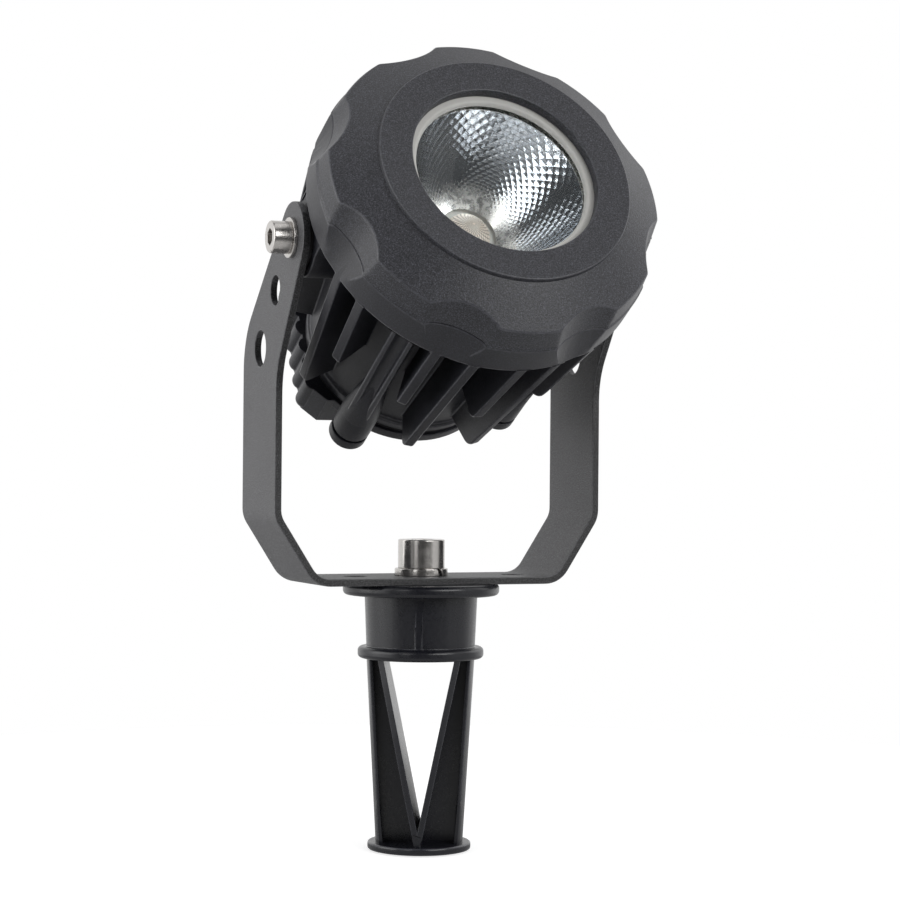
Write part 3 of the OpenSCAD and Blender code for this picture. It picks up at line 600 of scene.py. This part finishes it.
def make_finishes(colours):
    """Makes every finish on the lamp, by the record's slot names and two more for turned steel."""
    head_turn = (math.radians(90.0 - BEAM_TILT), 0.0, 0.0)
    cross_turn = (0.0, math.radians(90.0), 0.0)
    # The worn amounts below set the painted highlights along the rounded edges
    coat_material("moulded_plastic", colours.stake, 0.05, 0.27, grain=0.0009, relief=0.000004)
    steel_material("insert_brass", (0.72, 0.52, 0.22), (0.0, 0.0, 0.0), rough=0.3)
    steel_material("bolt_steel", colours.steel, (0.0, 0.0, 0.0))
    steel_material("head_steel", colours.steel, tuple(PIVOT), head_turn, rough=0.28)
    steel_material("pivot_steel", colours.steel, tuple(PIVOT), cross_turn, rough=0.25)
    # cut=0.9 paints shade on the bracket's cut faces
    coat_material("bracket_coat", colours.bracket, 0.9, 0.48, relief=0.00009, cut=0.9)
    plain_material("rubber_black", (0.02, 0.02, 0.021), 0.75, scale=600.0)
    coat_material("housing_coat", colours.housing, 0.6, 0.42, edge_highlight=1.0)
    coat_material("bezel_coat", colours.bezel, 0.95, 0.42, grain=0.00042, edge_highlight=0.5, relief=0.00009)
    glass_material("front_glass", (0.97, 0.985, 0.98))
    plain_material("seal_pale", colours.seal, 0.6, mottled=0.15)
    mirror_material("mirror_silver", colours.mirror)
    plain_material("board_white", (0.75, 0.75, 0.73), 0.4, mottled=0.1)
    plain_material("led_yellow", colours.phosphor, 0.35, mottled=0.2, scale=900.0)
    dome_material("dome_clear", colours.dome)
    plain_material("holder_white", (0.7, 0.7, 0.68), 0.45, mottled=0.1)
    plain_material("pad_grey", (0.35, 0.36, 0.38), 0.8)
    plain_material("wire_red", (0.45, 0.02, 0.015), 0.4)
    plain_material("board_green", (0.01, 0.12, 0.035), 0.35, scale=180.0)
    plain_material("transformer_yellow", (0.6, 0.42, 0.05), 0.45)
    plain_material("capacitor_blue", (0.01, 0.02, 0.1), 0.3)
    plain_material("choke_brown", (0.3, 0.1, 0.03), 0.35, scale=700.0)
    plain_material("terminal_green", (0.02, 0.24, 0.08), 0.4)
    coat_material("gland_black", colours.stake, 0.15, 0.42, grain=0.0006, relief=0.00002)


NODE_FINISH = {
    "stake": "moulded_plastic", "threaded_insert": "insert_brass", "base_bolt": "bolt_steel",
    "base_spring_washer": "bolt_steel", "bracket": "bracket_coat", "pivot_screws": "pivot_steel",
    "pivot_washers": "pivot_steel", "friction_discs": "rubber_black", "housing": "housing_coat",
    "bezel": "bezel_coat", "bezel_seal": "rubber_black", "bezel_screws": "head_steel",
    "front_glass": "front_glass", "glass_seal": "seal_pale", "reflector": "mirror_silver",
    "led_board": "board_white", "led_disc": "led_yellow", "led_dome": "dome_clear",
    "led_holder": "holder_white", "led_screws": "head_steel", "thermal_pad": "pad_grey",
    "led_wires": "wire_red", "wire_grommet": "rubber_black", "driver_board": "board_green",
    "transformer": "transformer_yellow", "capacitors": "capacitor_blue", "choke": "choke_brown",
    "terminal_block": "terminal_green", "back_cover": "housing_coat", "back_gasket": "rubber_black",
    "back_screws": "head_steel", "gland_body": "gland_black", "gland_ring": "rubber_black",
    "gland_seal": "rubber_black", "gland_nut": "gland_black",
}


class OBJECT_OT_spotlight_finishes(bpy.types.Operator):
    """Makes every finish and gives it to the solids of the frame"""
    bl_idname = "object.spotlight_finishes"
    bl_label = "Finishes"

    def execute(self, context):
        make_finishes(context.scene.spotlight_colours)
        for node, finish in NODE_FINISH.items():
            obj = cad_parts[node]
            obj.data.materials.clear()
            obj.data.materials.append(finishes[finish])
        return {"FINISHED"}


# ---- Front ring

# Millimetres. RIM_FACE is the place of the ring's back along the beam, from the pivot. The other
# heights are over the ring's back, and the radii are round the beam.
RIM_FACE = 21.0
LOBES = 8
LOBE_BACK_R, LOBE_R, LOBE_H = 46.3, 45.4, 6.7
SCOOP_R, SCOOP_IN, SCOOP_BACK_IN, SCOOP_BLEND = 22.0, 42.3, 43.9, 0.35
SHOULDER_R, FACE_R, FACE_LOW, FACE_H, FACE_DIP = 44.9, 34.3, 12.6, 13.9, 0.35
OPENING_R, LIP_UNDER, LIP_ROUND, POCKET_R = 25.3, 10.7, 0.4, 29.65
# The back edge laps over the housing's rim on the lobes and keeps inside it in the scoops
BACK_LAP, BACK_DROP, SCOOP_INSET = 0.33, 0.4, 0.35
SCOOP_MARGIN, SCOOP_FADE = 0.1, 0.4
WALL_HEIGHTS = (0.3, 0.6, 3.0)
RING_STEPS, FILLET_STEPS = 480, 5
NO_SCOOP = 99.0


def blended_min(a, b, reach):
    """The smaller of two lengths, with a soft change over where they meet."""
    gap = max(reach - abs(a - b), 0.0) / reach
    return min(a, b) - gap * gap * reach * 0.25


def scoop_wall(angle, height):
    """Radius of the scoops' wall round the ring, at a height over the ring's back."""
    step = math.tau / LOBES
    off = (angle % step) - step / 2
    far = SCOOP_IN + SCOOP_R
    radius = SCOOP_R - (SCOOP_BACK_IN - SCOOP_IN) / LOBE_H * (LOBE_H - height)
    room = radius * radius - (far * math.sin(off)) ** 2
    if room <= 0.0:
        return NO_SCOOP
    return far * math.cos(off) - math.sqrt(room)


def side_wall(angle, height):
    """Radius of the ring's side, with its lobes and scoops."""
    lobe = LOBE_BACK_R + (LOBE_R - LOBE_BACK_R) * height / LOBE_H
    return blended_min(lobe, scoop_wall(angle, height), SCOOP_BLEND)


def shoulder(height):
    """Radius of the sloping shoulder between the side wall and the raised face."""
    return SHOULDER_R + (FACE_R - SHOULDER_R) * (height - LOBE_H) / (FACE_LOW - LOBE_H)


def front_edge(angle):
    """Height at which the side wall meets the shoulder, found by halving."""
    low, high = 2.0, FACE_LOW
    for _ in range(30):
        mid = (low + high) / 2
        if side_wall(angle, mid) < shoulder(mid):
            low = mid
        else:
            high = mid
    return low


def bezel_rings(edge_round):
    """The front ring's outline, from its back edge over the lobes and the face to the pocket inside."""

    def wall(height):
        return lambda angle: side_wall(angle, height)

    def fillet(t, part):
        """Radius (part 0) or height (part 1) along the rounding of the front edge."""
        def point(angle):
            edge = front_edge(angle)
            a = Vector((side_wall(angle, edge - edge_round), edge - edge_round))
            b = Vector((side_wall(angle, edge), edge))
            c = Vector((shoulder(edge + edge_round * 0.6), edge + edge_round * 0.6))
            return on_curve(a, b, c, t)[part]
        return point

    def halfway(part, end):
        return lambda angle: (fillet(1.0, part)(angle) + end) / 2

    def in_scoop(angle):
        """1 in a scoop and 0 on a lobe, with a short fade between."""
        return min(max((LOBE_BACK_R + SCOOP_MARGIN - scoop_wall(angle, 0.0)) / SCOOP_FADE, 0.0), 1.0)

    def back_radius(angle):
        return side_wall(angle, 0.0) + BACK_LAP + (-SCOOP_INSET - BACK_LAP) * in_scoop(angle)

    def back_height(angle):
        return -BACK_DROP * (1.0 - in_scoop(angle))

    rings = [(back_radius, back_height)]
    rings += [(wall(height), height) for height in WALL_HEIGHTS]
    for k in range(FILLET_STEPS + 1):
        t = k / FILLET_STEPS
        rings.append((fillet(t, 0), fillet(t, 1), 1.0 if 0 < k < FILLET_STEPS else 0.0))
    rings.append((halfway(0, FACE_R), halfway(1, FACE_LOW)))
    return rings + soften([
        (FACE_R + 0.9, FACE_LOW - 0.5), (FACE_R, FACE_LOW - 0.05), (FACE_R - 0.05, FACE_H),
        (OPENING_R, FACE_H - FACE_DIP), (OPENING_R, LIP_UNDER), (POCKET_R, LIP_UNDER), (POCKET_R, 0.0)],
        LIP_ROUND, skip=(0, 1, 5, 6))


class OBJECT_OT_spotlight_bezel(bpy.types.Operator):
    """Makes the front ring with its lobes, scoops and raised face"""
    bl_idname = "object.spotlight_bezel"
    bl_label = "Front Ring"

    def execute(self, context):
        sizes = context.scene.spotlight_sizes
        lift = HEAD @ Matrix.Translation((0.0, 0.0, RIM_FACE * MM))
        mesh = loft("front_ring", bezel_rings(sizes.scoop_round / MM), RING_STEPS, lift, close=True)
        add_piece("front_ring", mesh, "head", "bezel_coat", "bezel", smooth=60.0)
        return {"FINISHED"}


# ---- Castings, bracket, stake and seal

# Cones on the screw columns, in millimetres: their (radius, height) rings and foot; and in degrees
# their lean outwards and the first one's bearing
FLARE = ((5.36, 7.5), (5.36, 8.7), (5.28, 9.6), (5.1, 11.0), (4.8, 14.0), (4.4, 18.0),
         (3.9, 22.0), (3.2, 27.0), (2.4, 31.0))
FLARE_FOOT, FLARE_LEAN, FLARE_BEARING = (32.0, 0.0, -50.0), 8.5, 53.5

# The stake's foot in millimetres: radius, thickness, and radius of the loft's own hole
FOOT_R, FOOT_T, FOOT_HOLE_R = 14.32, 2.0, 6.0

# Seal over the glass, in millimetres: its outline and the place of its underside along the beam
SEAL_OUTLINE = ((29.4, 0.0), (29.4, 1.2), (23.6, 1.2), (23.1, 0.0))
SEAL_LOW = 30.5


def column_flares():
    """Cones that widen the four screw columns smoothly into their round ends."""
    foot = Matrix.Translation(Vector(FLARE_FOOT) * MM) @ Matrix.Rotation(math.radians(FLARE_LEAN), 4, "Y")
    turns = [Matrix.Rotation(math.radians(FLARE_BEARING + 90.0 * i), 4, "Z") for i in range(4)]
    return [loft("flare", FLARE, 48, HEAD @ turn @ foot) for turn in turns]


def stake_foot():
    """The stake's round foot, with a smooth rounded edge."""
    outline = soften(
        [(FOOT_R, 0.0), (FOOT_R, FOOT_T + 0.03), (FOOT_HOLE_R, FOOT_T + 0.02), (FOOT_HOLE_R, 0.0)],
        0.6, skip=(2, 3))
    return loft("foot", outline, 128, Matrix(), close=True)


class OBJECT_OT_spotlight_castings(bpy.types.Operator):
    """Makes the housing, back cover, bracket, stake, bolt and gland with rounded edges"""
    bl_idname = "object.spotlight_castings"
    bl_label = "Castings, Bracket and Stake"

    def execute(self, context):
        sizes = context.scene.spotlight_sizes
        rows = (
            ("housing", "head", "housing_coat", sizes.edge_round),
            ("back_cover", "head", "housing_coat", sizes.edge_round * 0.5),
            ("bracket", "bracket", "bracket_coat", sizes.plate_round),
            ("stake", "stake", "moulded_plastic", sizes.plate_round),
            ("base_bolt", "stake", "bolt_steel", 0.2 * MM),
            ("base_spring_washer", "stake", "bolt_steel", 0.25 * MM),
            ("gland_body", "head", "gland_black", 0.25 * MM),
        )
        for node, body, finish, width in rows:
            if node == "stake":
                mesh = joined(rounded_copy(node, width, above=FOOT_T * MM * 1.02), stake_foot())
            else:
                mesh = rounded_copy(node, width)
            if node == "housing":
                mesh = joined(mesh, *column_flares())
            if node == "bracket":
                # marks the cut faces that get the painted shade
                mark_shaded_cut_faces(mesh)
            add_piece(node + "_finished", mesh, body, finish, node)
        return {"FINISHED"}


class OBJECT_OT_spotlight_glazing(bpy.types.Operator):
    """Makes the pale seal over the glass"""
    bl_idname = "object.spotlight_glazing"
    bl_label = "Glazing"

    def execute(self, context):
        outline = soften(SEAL_OUTLINE, 0.7, steps=4, skip=(0, 1, 3))
        lift = HEAD @ Matrix.Translation((0.0, 0.0, SEAL_LOW * MM))
        seal = loft("seal_ring", outline, 160, lift, close=True)
        add_piece("seal_ring", seal, "head", "seal_pale", "glass_seal")
        return {"FINISHED"}


# ---- Geometry Nodes

def grow(name, tree, matrix, start=None, **values):
    """Runs a Geometry Nodes tree on a mesh or on nothing, and returns the plain mesh that it makes."""
    obj = bpy.data.objects.new(name, start or bpy.data.meshes.new(name))
    bpy.context.scene.collection.objects.link(obj)
    modifier = obj.modifiers.new(name, "NODES")
    modifier.node_group = tree
    for item in tree.interface.items_tree:
        key = item.name.replace(" ", "_").lower()
        if item.in_out == "INPUT" and key in values:
            modifier[item.identifier] = values[key]
    bake_modifiers(obj)
    mesh = obj.data
    bpy.data.objects.remove(obj)
    mesh.transform(matrix)
    return mesh


def geometry_tree(name, *rows):
    """A new Geometry Nodes tree with its named inputs, and what its input node gives."""
    tree = bpy.data.node_groups.new(name, "GeometryNodeTree")
    sockets(tree, ("Geometry", "INPUT", "Geometry", None), *rows, ("Material", "INPUT", "Material", None),
            ("Geometry", "OUTPUT", "Geometry", None))
    n = Nodes(tree)
    return n, n.add("NodeGroupInput").outputs


def finish_tree(n, given, geometry):
    """Ends a tree with its material."""
    dressed = n.first("GeometryNodeSetMaterial", {"Geometry": geometry, "Material": given["Material"]})
    n.put(n.add("NodeGroupOutput").inputs[0], dressed)
    return n.tree


def ring_tree():
    """Geometry Nodes: one piece repeated round the Z axis."""
    n, given = geometry_tree("Ring of Pieces", ("Count", "INPUT", "Int", 4))
    points = n.first("GeometryNodeMeshLine", {"Count": given["Count"], "Offset": (0.0, 0.0, 0.0)})
    turn = n.times(n.first("GeometryNodeInputIndex"), math.tau)
    turn = n.first("ShaderNodeCombineXYZ", {"Z": n.math("DIVIDE", turn, given["Count"])})
    ring = n.first("GeometryNodeInstanceOnPoints", {
        "Points": points, "Instance": given["Geometry"], "Rotation": turn})
    return finish_tree(n, given, n.first("GeometryNodeRealizeInstances", {"Geometry": ring}))


# Power that spreads the rows from base to mouth, points along a facet's side, smallest face kept (m2)
ROW_POWER, FACET_POINTS, LEAST_FACE = 0.6, 4, 1e-10


def bowl_tree():
    """Geometry Nodes: pillow facets laid as diamonds over the inside of a paraboloid bowl."""
    n, given = geometry_tree(
        "Faceted Bowl", ("Facets Round", "INPUT", "Int", 48), ("Rows", "INPUT", "Int", 29),
        ("Base Radius", "INPUT", "Float", 8.2 * MM), ("Mouth Radius", "INPUT", "Float", 23.5 * MM),
        ("Depth", "INPUT", "Float", 22.7 * MM), ("Bulge", "INPUT", "Float", 0.09 * MM))
    side = math.sqrt(0.5)
    # one facet: a square grid with a pillow over it, set on its corner
    patch = n.first("GeometryNodeMeshGrid", {
        "Size X": side, "Size Y": side, "Vertices X": FACET_POINTS, "Vertices Y": FACET_POINTS})
    at = n.add("ShaderNodeSeparateXYZ", {0: n.first("GeometryNodeInputPosition")}).outputs
    hump = [n.times(part, 2.0 / side) for part in at[:2]]
    hump = [n.math("SUBTRACT", 1.0, n.math("POWER", part, 2.0)) for part in hump]
    rise = n.first("ShaderNodeCombineXYZ", {"Z": n.times(*hump)})
    pillow = n.first("GeometryNodeSetPosition", {"Geometry": patch, "Offset": rise})
    # the edge level, 1 at a facet's border, sets where the materials paint shade along the creases
    pillow = n.first("GeometryNodeStoreNamedAttribute", {
        "Geometry": pillow, "Name": "edge", "Value": n.math("SUBTRACT", 1.0, at[2])}, data_type="FLOAT")
    pillow = n.first("GeometryNodeTransform", {"Geometry": pillow, "Rotation": (0.0, 0.0, math.pi / 4)})
    # the lattice: every other row is moved by half a facet
    span = n.times(n.math("SUBTRACT", given["Rows"], 1.0), 0.5)
    lattice = n.first("GeometryNodeMeshGrid", {
        "Size X": n.math("SUBTRACT", given["Facets Round"], 1.0), "Size Y": span,
        "Vertices X": given["Facets Round"], "Vertices Y": given["Rows"]})
    up = n.math("ADD", at[1], n.times(span, 0.5))
    row = n.math("ROUND", n.times(up, 2.0))
    shift = n.first("ShaderNodeCombineXYZ", {"X": n.times(n.math("MODULO", row, 2.0), 0.5)})
    lattice = n.first("GeometryNodeSetPosition", {"Geometry": lattice, "Offset": shift})
    facets = n.first("GeometryNodeInstanceOnPoints", {"Points": lattice, "Instance": pillow})
    facets = n.first("GeometryNodeRealizeInstances", {"Geometry": facets})
    # from the flat sheet to the bowl
    turn = n.times(n.math("DIVIDE", at[0], given["Facets Round"]), math.tau)
    climb = n.math("DIVIDE", up, span, clamp=True)
    base, mouth = given["Base Radius"], given["Mouth Radius"]
    inner, outer = n.math("POWER", base, ROW_POWER), n.math("POWER", mouth, ROW_POWER)
    radius = n.math("ADD", inner, n.times(climb, n.math("SUBTRACT", outer, inner)))
    radius = n.math("POWER", radius, 1 / ROW_POWER)
    inner, outer = n.math("POWER", base, 2.0), n.math("POWER", mouth, 2.0)
    curve = n.math("DIVIDE", given["Depth"], n.math("SUBTRACT", outer, inner))
    height = n.times(curve, n.math("SUBTRACT", n.math("POWER", radius, 2.0), inner))
    # the bulge stands square to the bowl and shrinks towards its base
    slope = n.times(n.times(curve, radius), 2.0)
    slant = n.math("SQRT", n.math("ADD", n.math("POWER", slope, 2.0), 1.0))
    bulge = n.times(n.times(at[2], given["Bulge"]), n.math("DIVIDE", radius, mouth))
    radius = n.math("SUBTRACT", radius, n.math("DIVIDE", n.times(bulge, slope), slant))
    height = n.math("ADD", height, n.math("DIVIDE", bulge, slant))
    place = n.first("ShaderNodeCombineXYZ", {
        "X": n.times(radius, n.math("COSINE", turn)),
        "Y": n.times(radius, n.math("SINE", turn)), "Z": height})
    facets = n.first("GeometryNodeStoreNamedAttribute", {
        "Geometry": facets, "Name": "climb", "Value": climb}, data_type="FLOAT")
    bowl = n.first("GeometryNodeSetPosition", {"Geometry": facets, "Position": place})
    area = n.first("GeometryNodeInputMeshFaceArea")
    flat = n.first("FunctionNodeCompare", {0: area, 1: LEAST_FACE}, operation="LESS_THAN")
    bowl = n.first("GeometryNodeDeleteGeometry", {"Geometry": bowl, "Selection": flat}, domain="FACE")
    return finish_tree(n, given, bowl)


class OBJECT_OT_spotlight_fasteners(bpy.types.Operator):
    """Makes the screws and washers that repeat round the lamp's axis"""
    bl_idname = "object.spotlight_fasteners"
    bl_label = "Screws and Washers"

    def execute(self, context):
        tree = ring_tree()
        rows = (
            ("pivot_screws", 2, "pivot_steel", 0.12), ("pivot_washers", 2, "pivot_steel", 0.15),
            ("bezel_screws", 4, "head_steel", 0.15), ("back_screws", 4, "head_steel", 0.2),
            ("led_screws", 2, "head_steel", 0.1))
        for node, count, finish, width in rows:
            mesh = rounded_copy(node, width * MM)
            first_solid(mesh)
            mesh.transform(HEAD.inverted())
            mesh = grow(node, tree, HEAD, mesh, count=count, material=finishes[finish])
            add_piece(node + "_finished", mesh, "head", finish, node)
        return {"FINISHED"}


# Mirror in millimetres: place of its base along the beam, gap from its skin to the facets, radii
# and depth; and the rows of facets for each facet round
MIRROR_LOW, FACET_GAP = 4.6, 0.12
MIRROR_BASE_R, MIRROR_MOUTH_R, MIRROR_DEPTH, ROW_SHARE = 8.2, 23.5, 22.7, 0.58

# Dome in millimetres: dimples round and up, their bulge, radii of the dimpled part and of the disc
# at its pole; and the shares of its height down to the last dimples and to the top of the skirt
DIMPLES_ROUND, DIMPLE_ROWS, DIMPLE_BULGE = 26, 12, 0.2
DOME_R, POLE_HOLE_R, POLE_R = 5.8, 0.3, 0.5
DIMPLED_SHARE, SKIRT_SHARE = 0.7, 0.72


def dome_mesh(tree):
    """The dimpled dome with a plain skirt under it and a small disc at its pole."""
    low, high = head_span("led_dome")
    dimples = grow(
        "dome", tree, HEAD @ Matrix.Translation((0.0, 0.0, high)), facets_round=DIMPLES_ROUND,
        rows=DIMPLE_ROWS, base_radius=POLE_HOLE_R * MM, mouth_radius=DOME_R * MM,
        depth=-DIMPLED_SHARE * (high - low), bulge=DIMPLE_BULGE * MM, material=finishes["dome_clear"])
    rim = (high - SKIRT_SHARE * (high - low)) / MM
    low, high, under = low / MM, high / MM, DOME_R - 0.05
    skirt = loft("skirt", [
        (under, rim), (under + 0.1, low + 1.2), (under + 0.6, low + 0.4), (under + 0.7, low)], 96, HEAD)
    pole = loft("pole", [
        (POLE_R, high - 0.12), (POLE_R, high - 0.05), (POLE_R - 0.08, high - 0.02)], 24, HEAD)
    return joined(dimples, skirt, pole)


class OBJECT_OT_spotlight_mirror(bpy.types.Operator):
    """Makes the mirror with its diamond facets and the dimpled dome"""
    bl_idname = "object.spotlight_mirror"
    bl_label = "Mirror and Dome"

    def execute(self, context):
        sizes = context.scene.spotlight_sizes
        tree = bowl_tree()
        facets = grow(
            "mirror", tree, HEAD @ Matrix.Translation((0.0, 0.0, (MIRROR_LOW + FACET_GAP) * MM)),
            facets_round=sizes.facets_round, rows=round(sizes.facets_round * ROW_SHARE) + 1,
            base_radius=MIRROR_BASE_R * MM, mouth_radius=MIRROR_MOUTH_R * MM, depth=MIRROR_DEPTH * MM,
            bulge=sizes.facet_bulge, material=finishes["mirror_silver"])
        mesh = joined(facets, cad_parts["reflector"].data.copy())
        add_piece("mirror", mesh, "head", "mirror_silver", "reflector", smooth=25.0)
        add_piece("dome", dome_mesh(tree), "head", "dome_clear", "led_dome", smooth=25.0)
        return {"FINISHED"}


# ---- Stage

# The photograph's camera: its place, and its bearing, pitch and roll in degrees
CAMERA_PLACE = Vector((-239.67, -598.51, 107.94)) * MM
CAMERA_TURNS = (22.509, 0.2427, 0.4968)
SENSOR_WIDTH, CLIP_START = 36.0, 0.01

# Soft boxes round the lamp: name, bearing from the front, height angle, width, height (m), strength
SOFT_BOXES = (
    ("Left Box", -50.0, 17.0, 0.34, 0.95, 1.9),
    ("Right Box", 21.0, 20.0, 0.86, 0.66, 4.6),
    ("Left Wall", -100.0, 12.0, 1.1, 0.9, 2.05),
    ("Right Wall", 100.0, 25.0, 0.9, 0.9, 0.8),
    ("Top Box", 0.0, 80.0, 1.0, 0.8, 0.4),
)
LAMP_CENTRE = Vector((0.0, -40.0, 150.0)) * MM
BOX_DISTANCE = 1.25

# The room: the way to its dark part, the cosines between which it darkens, and its cloudy clutter;
# then where the white behind the lamp starts, where it fades overhead, and what is left of it there
DARK_WAY, DARK_EDGE = (-0.29, -0.93, 0.21), (0.45, 0.74)
CLUTTER_SCALE, CLUTTER = 9.0, ((0.4, 0.4), (0.62, 1.6))
BEHIND_EDGE, OVERHEAD_EDGE, OVERHEAD_LEVEL = (-0.05, 0.35), (0.45, 0.75), 0.3
WHITE = (1.0, 1.0, 1.0, 1.0)

# The floor: radius and gap under the stake (m), its two greys, its glow and the mirrors' share of it
FLOOR_RADIUS, FLOOR_GAP = 0.3, 0.0003
FLOOR_GREYS = (0.5, 0.5, 0.5, 1.0), (0.6, 0.6, 0.6, 1.0)
FLOOR_GLOW, FLOOR_IN_MIRRORS = 0.72, 0.2


def camera_axes():
    """Right, up and forward of the photograph's camera."""
    turn, pitch, roll = (math.radians(angle) for angle in CAMERA_TURNS)
    forward = Vector((math.sin(turn) * math.cos(pitch), math.cos(turn) * math.cos(pitch), math.sin(pitch)))
    right = Vector((math.cos(turn), -math.sin(turn), 0.0))
    up = right.cross(forward)
    return (math.cos(roll) * right + math.sin(roll) * up,
            math.cos(roll) * up - math.sin(roll) * right, forward)


def add_camera(scene, settings):
    right, up, forward = camera_axes()
    data = bpy.data.cameras.new("Camera")
    data.lens = settings.lens
    data.sensor_width = SENSOR_WIDTH
    data.clip_start = CLIP_START
    camera = bpy.data.objects.new("Camera", data)
    scene.collection.objects.link(camera)
    turn = Matrix((right, up, -forward)).transposed().to_4x4()
    camera.matrix_world = Matrix.Translation(CAMERA_PLACE) @ turn
    scene.camera = camera


def add_soft_box(scene, name, bearing, climb, width, height, strength):
    """A soft rectangular light that faces the lamp; strength is how bright its face is."""
    turn, rise = math.radians(bearing), math.radians(climb)
    away = Vector((math.sin(turn) * math.cos(rise), -math.cos(turn) * math.cos(rise), math.sin(rise)))
    data = bpy.data.lights.new(name, "AREA")
    data.shape = "RECTANGLE"
    data.size, data.size_y = width, height
    data.energy = strength * math.pi * width * height
    lamp = bpy.data.objects.new(name, data)
    scene.collection.objects.link(lamp)
    lamp.location = LAMP_CENTRE + away * BOX_DISTANCE
    lamp.rotation_euler = away.to_track_quat("Z", "Y").to_euler()


def studio_world(scene, settings):
    """White to the camera and behind the lamp, and a room before it that is dark round the camera."""
    world = bpy.data.worlds.new("Studio")
    world.use_nodes = True
    n = Nodes(world.node_tree)
    ray = n.add("ShaderNodeLightPath").outputs
    place = n.add("ShaderNodeTexCoord").outputs["Generated"]
    away = n.add("ShaderNodeVectorMath", {0: place, 1: DARK_WAY}, operation="DOT_PRODUCT").outputs["Value"]
    room = n.soft_step(away, *DARK_EDGE, settings.room, settings.shade)
    room = n.times(room, n.ramp(n.noise(place, CLUTTER_SCALE, 3.0), *CLUTTER))
    part = n.add("ShaderNodeSeparateXYZ", {0: place}).outputs
    behind = n.soft_step(part[1], *BEHIND_EDGE, 0.0, 1.0)
    behind = n.times(behind, n.soft_step(part[2], *OVERHEAD_EDGE, 1.0, OVERHEAD_LEVEL))
    shown = n.math("MAXIMUM", ray["Is Glossy Ray"], ray["Is Transmission Ray"])
    around = n.mix_numbers(behind, room, n.mix_numbers(shown, settings.backdrop, 1.0))
    back = world.node_tree.nodes["Background"].inputs
    n.put(back["Color"], WHITE)
    n.put(back["Strength"], n.mix_numbers(ray["Is Camera Ray"], around, 1.0))
    scene.world = world


def add_floor(scene):
    """A pale floor that is white to the camera but keeps the lamp's shadow."""
    bm = bmesh.new()
    bmesh.ops.create_circle(bm, cap_ends=True, segments=96, radius=FLOOR_RADIUS)
    floor = bpy.data.objects.new("floor", new_mesh("floor", bm))
    floor.data.transform(Matrix.Translation((0.0, 0.0, -FLOOR_GAP)))
    scene.collection.objects.link(floor)
    n, shader = new_material("white_floor")
    mottle = n.times(n.noise(n.place(), 20.0, 2.0), 0.1)
    n.put(shader["Base Color"], n.mix(mottle, *FLOOR_GREYS))
    shader["Roughness"].default_value = 0.9
    shader["Specular IOR Level"].default_value = 0.0
    ray = n.add("ShaderNodeLightPath").outputs
    glossy = n.times(ray["Is Glossy Ray"], FLOOR_IN_MIRRORS)
    seen = n.math("MAXIMUM", ray["Is Camera Ray"], glossy)
    shader["Emission Color"].default_value = WHITE
    n.put(shader["Emission Strength"], n.times(seen, FLOOR_GLOW))
    floor.data.materials.append(finishes["white_floor"])


class OBJECT_OT_spotlight_stage(bpy.types.Operator):
    """Makes the floor, the world, the lights and the photograph's camera"""
    bl_idname = "object.spotlight_stage"
    bl_label = "Stage"

    def execute(self, context):
        scene = context.scene
        settings = scene.spotlight_stage
        scene.view_settings.view_transform = "Standard"
        studio_world(scene, settings)
        add_floor(scene)
        for row in SOFT_BOXES:
            add_soft_box(scene, *row)
        add_camera(scene, settings)
        return {"FINISHED"}


# ---- Panel and main

STEPS = (
    OBJECT_OT_spotlight_finishes, OBJECT_OT_spotlight_bezel, OBJECT_OT_spotlight_castings,
    OBJECT_OT_spotlight_fasteners, OBJECT_OT_spotlight_glazing, OBJECT_OT_spotlight_mirror,
    OBJECT_OT_spotlight_stage)


class VIEW3D_PT_spotlight(bpy.types.Panel):
    """Lists the steps that dress the spotlight, and its settings"""
    bl_idname = "VIEW3D_PT_spotlight"
    bl_label = "Spotlight"
    bl_space_type = "VIEW_3D"
    bl_region_type = "UI"
    bl_category = "Spotlight"

    def draw(self, context):
        for step in STEPS:
            self.layout.operator(step.bl_idname)
        for settings in (context.scene.spotlight_sizes, context.scene.spotlight_colours,
                         context.scene.spotlight_stage):
            box = self.layout.box()
            for key in settings.__annotations__:
                box.prop(settings, key)


GROUPS = (SpotlightSizes, SpotlightColours, SpotlightStage)


def register():
    for item in (*GROUPS, *STEPS, VIEW3D_PT_spotlight):
        bpy.utils.register_class(item)
    bpy.types.Scene.spotlight_sizes = PointerProperty(type=SpotlightSizes)
    bpy.types.Scene.spotlight_colours = PointerProperty(type=SpotlightColours)
    bpy.types.Scene.spotlight_stage = PointerProperty(type=SpotlightStage)


def unregister():
    del bpy.types.Scene.spotlight_stage
    del bpy.types.Scene.spotlight_colours
    del bpy.types.Scene.spotlight_sizes
    for item in reversed((*GROUPS, *STEPS, VIEW3D_PT_spotlight)):
        bpy.utils.unregister_class(item)


def main():
    register()
    for step in STEPS:
        section, name = step.bl_idname.split(".")
        getattr(getattr(bpy.ops, section), name)()


if __name__ == "__main__":
    main()
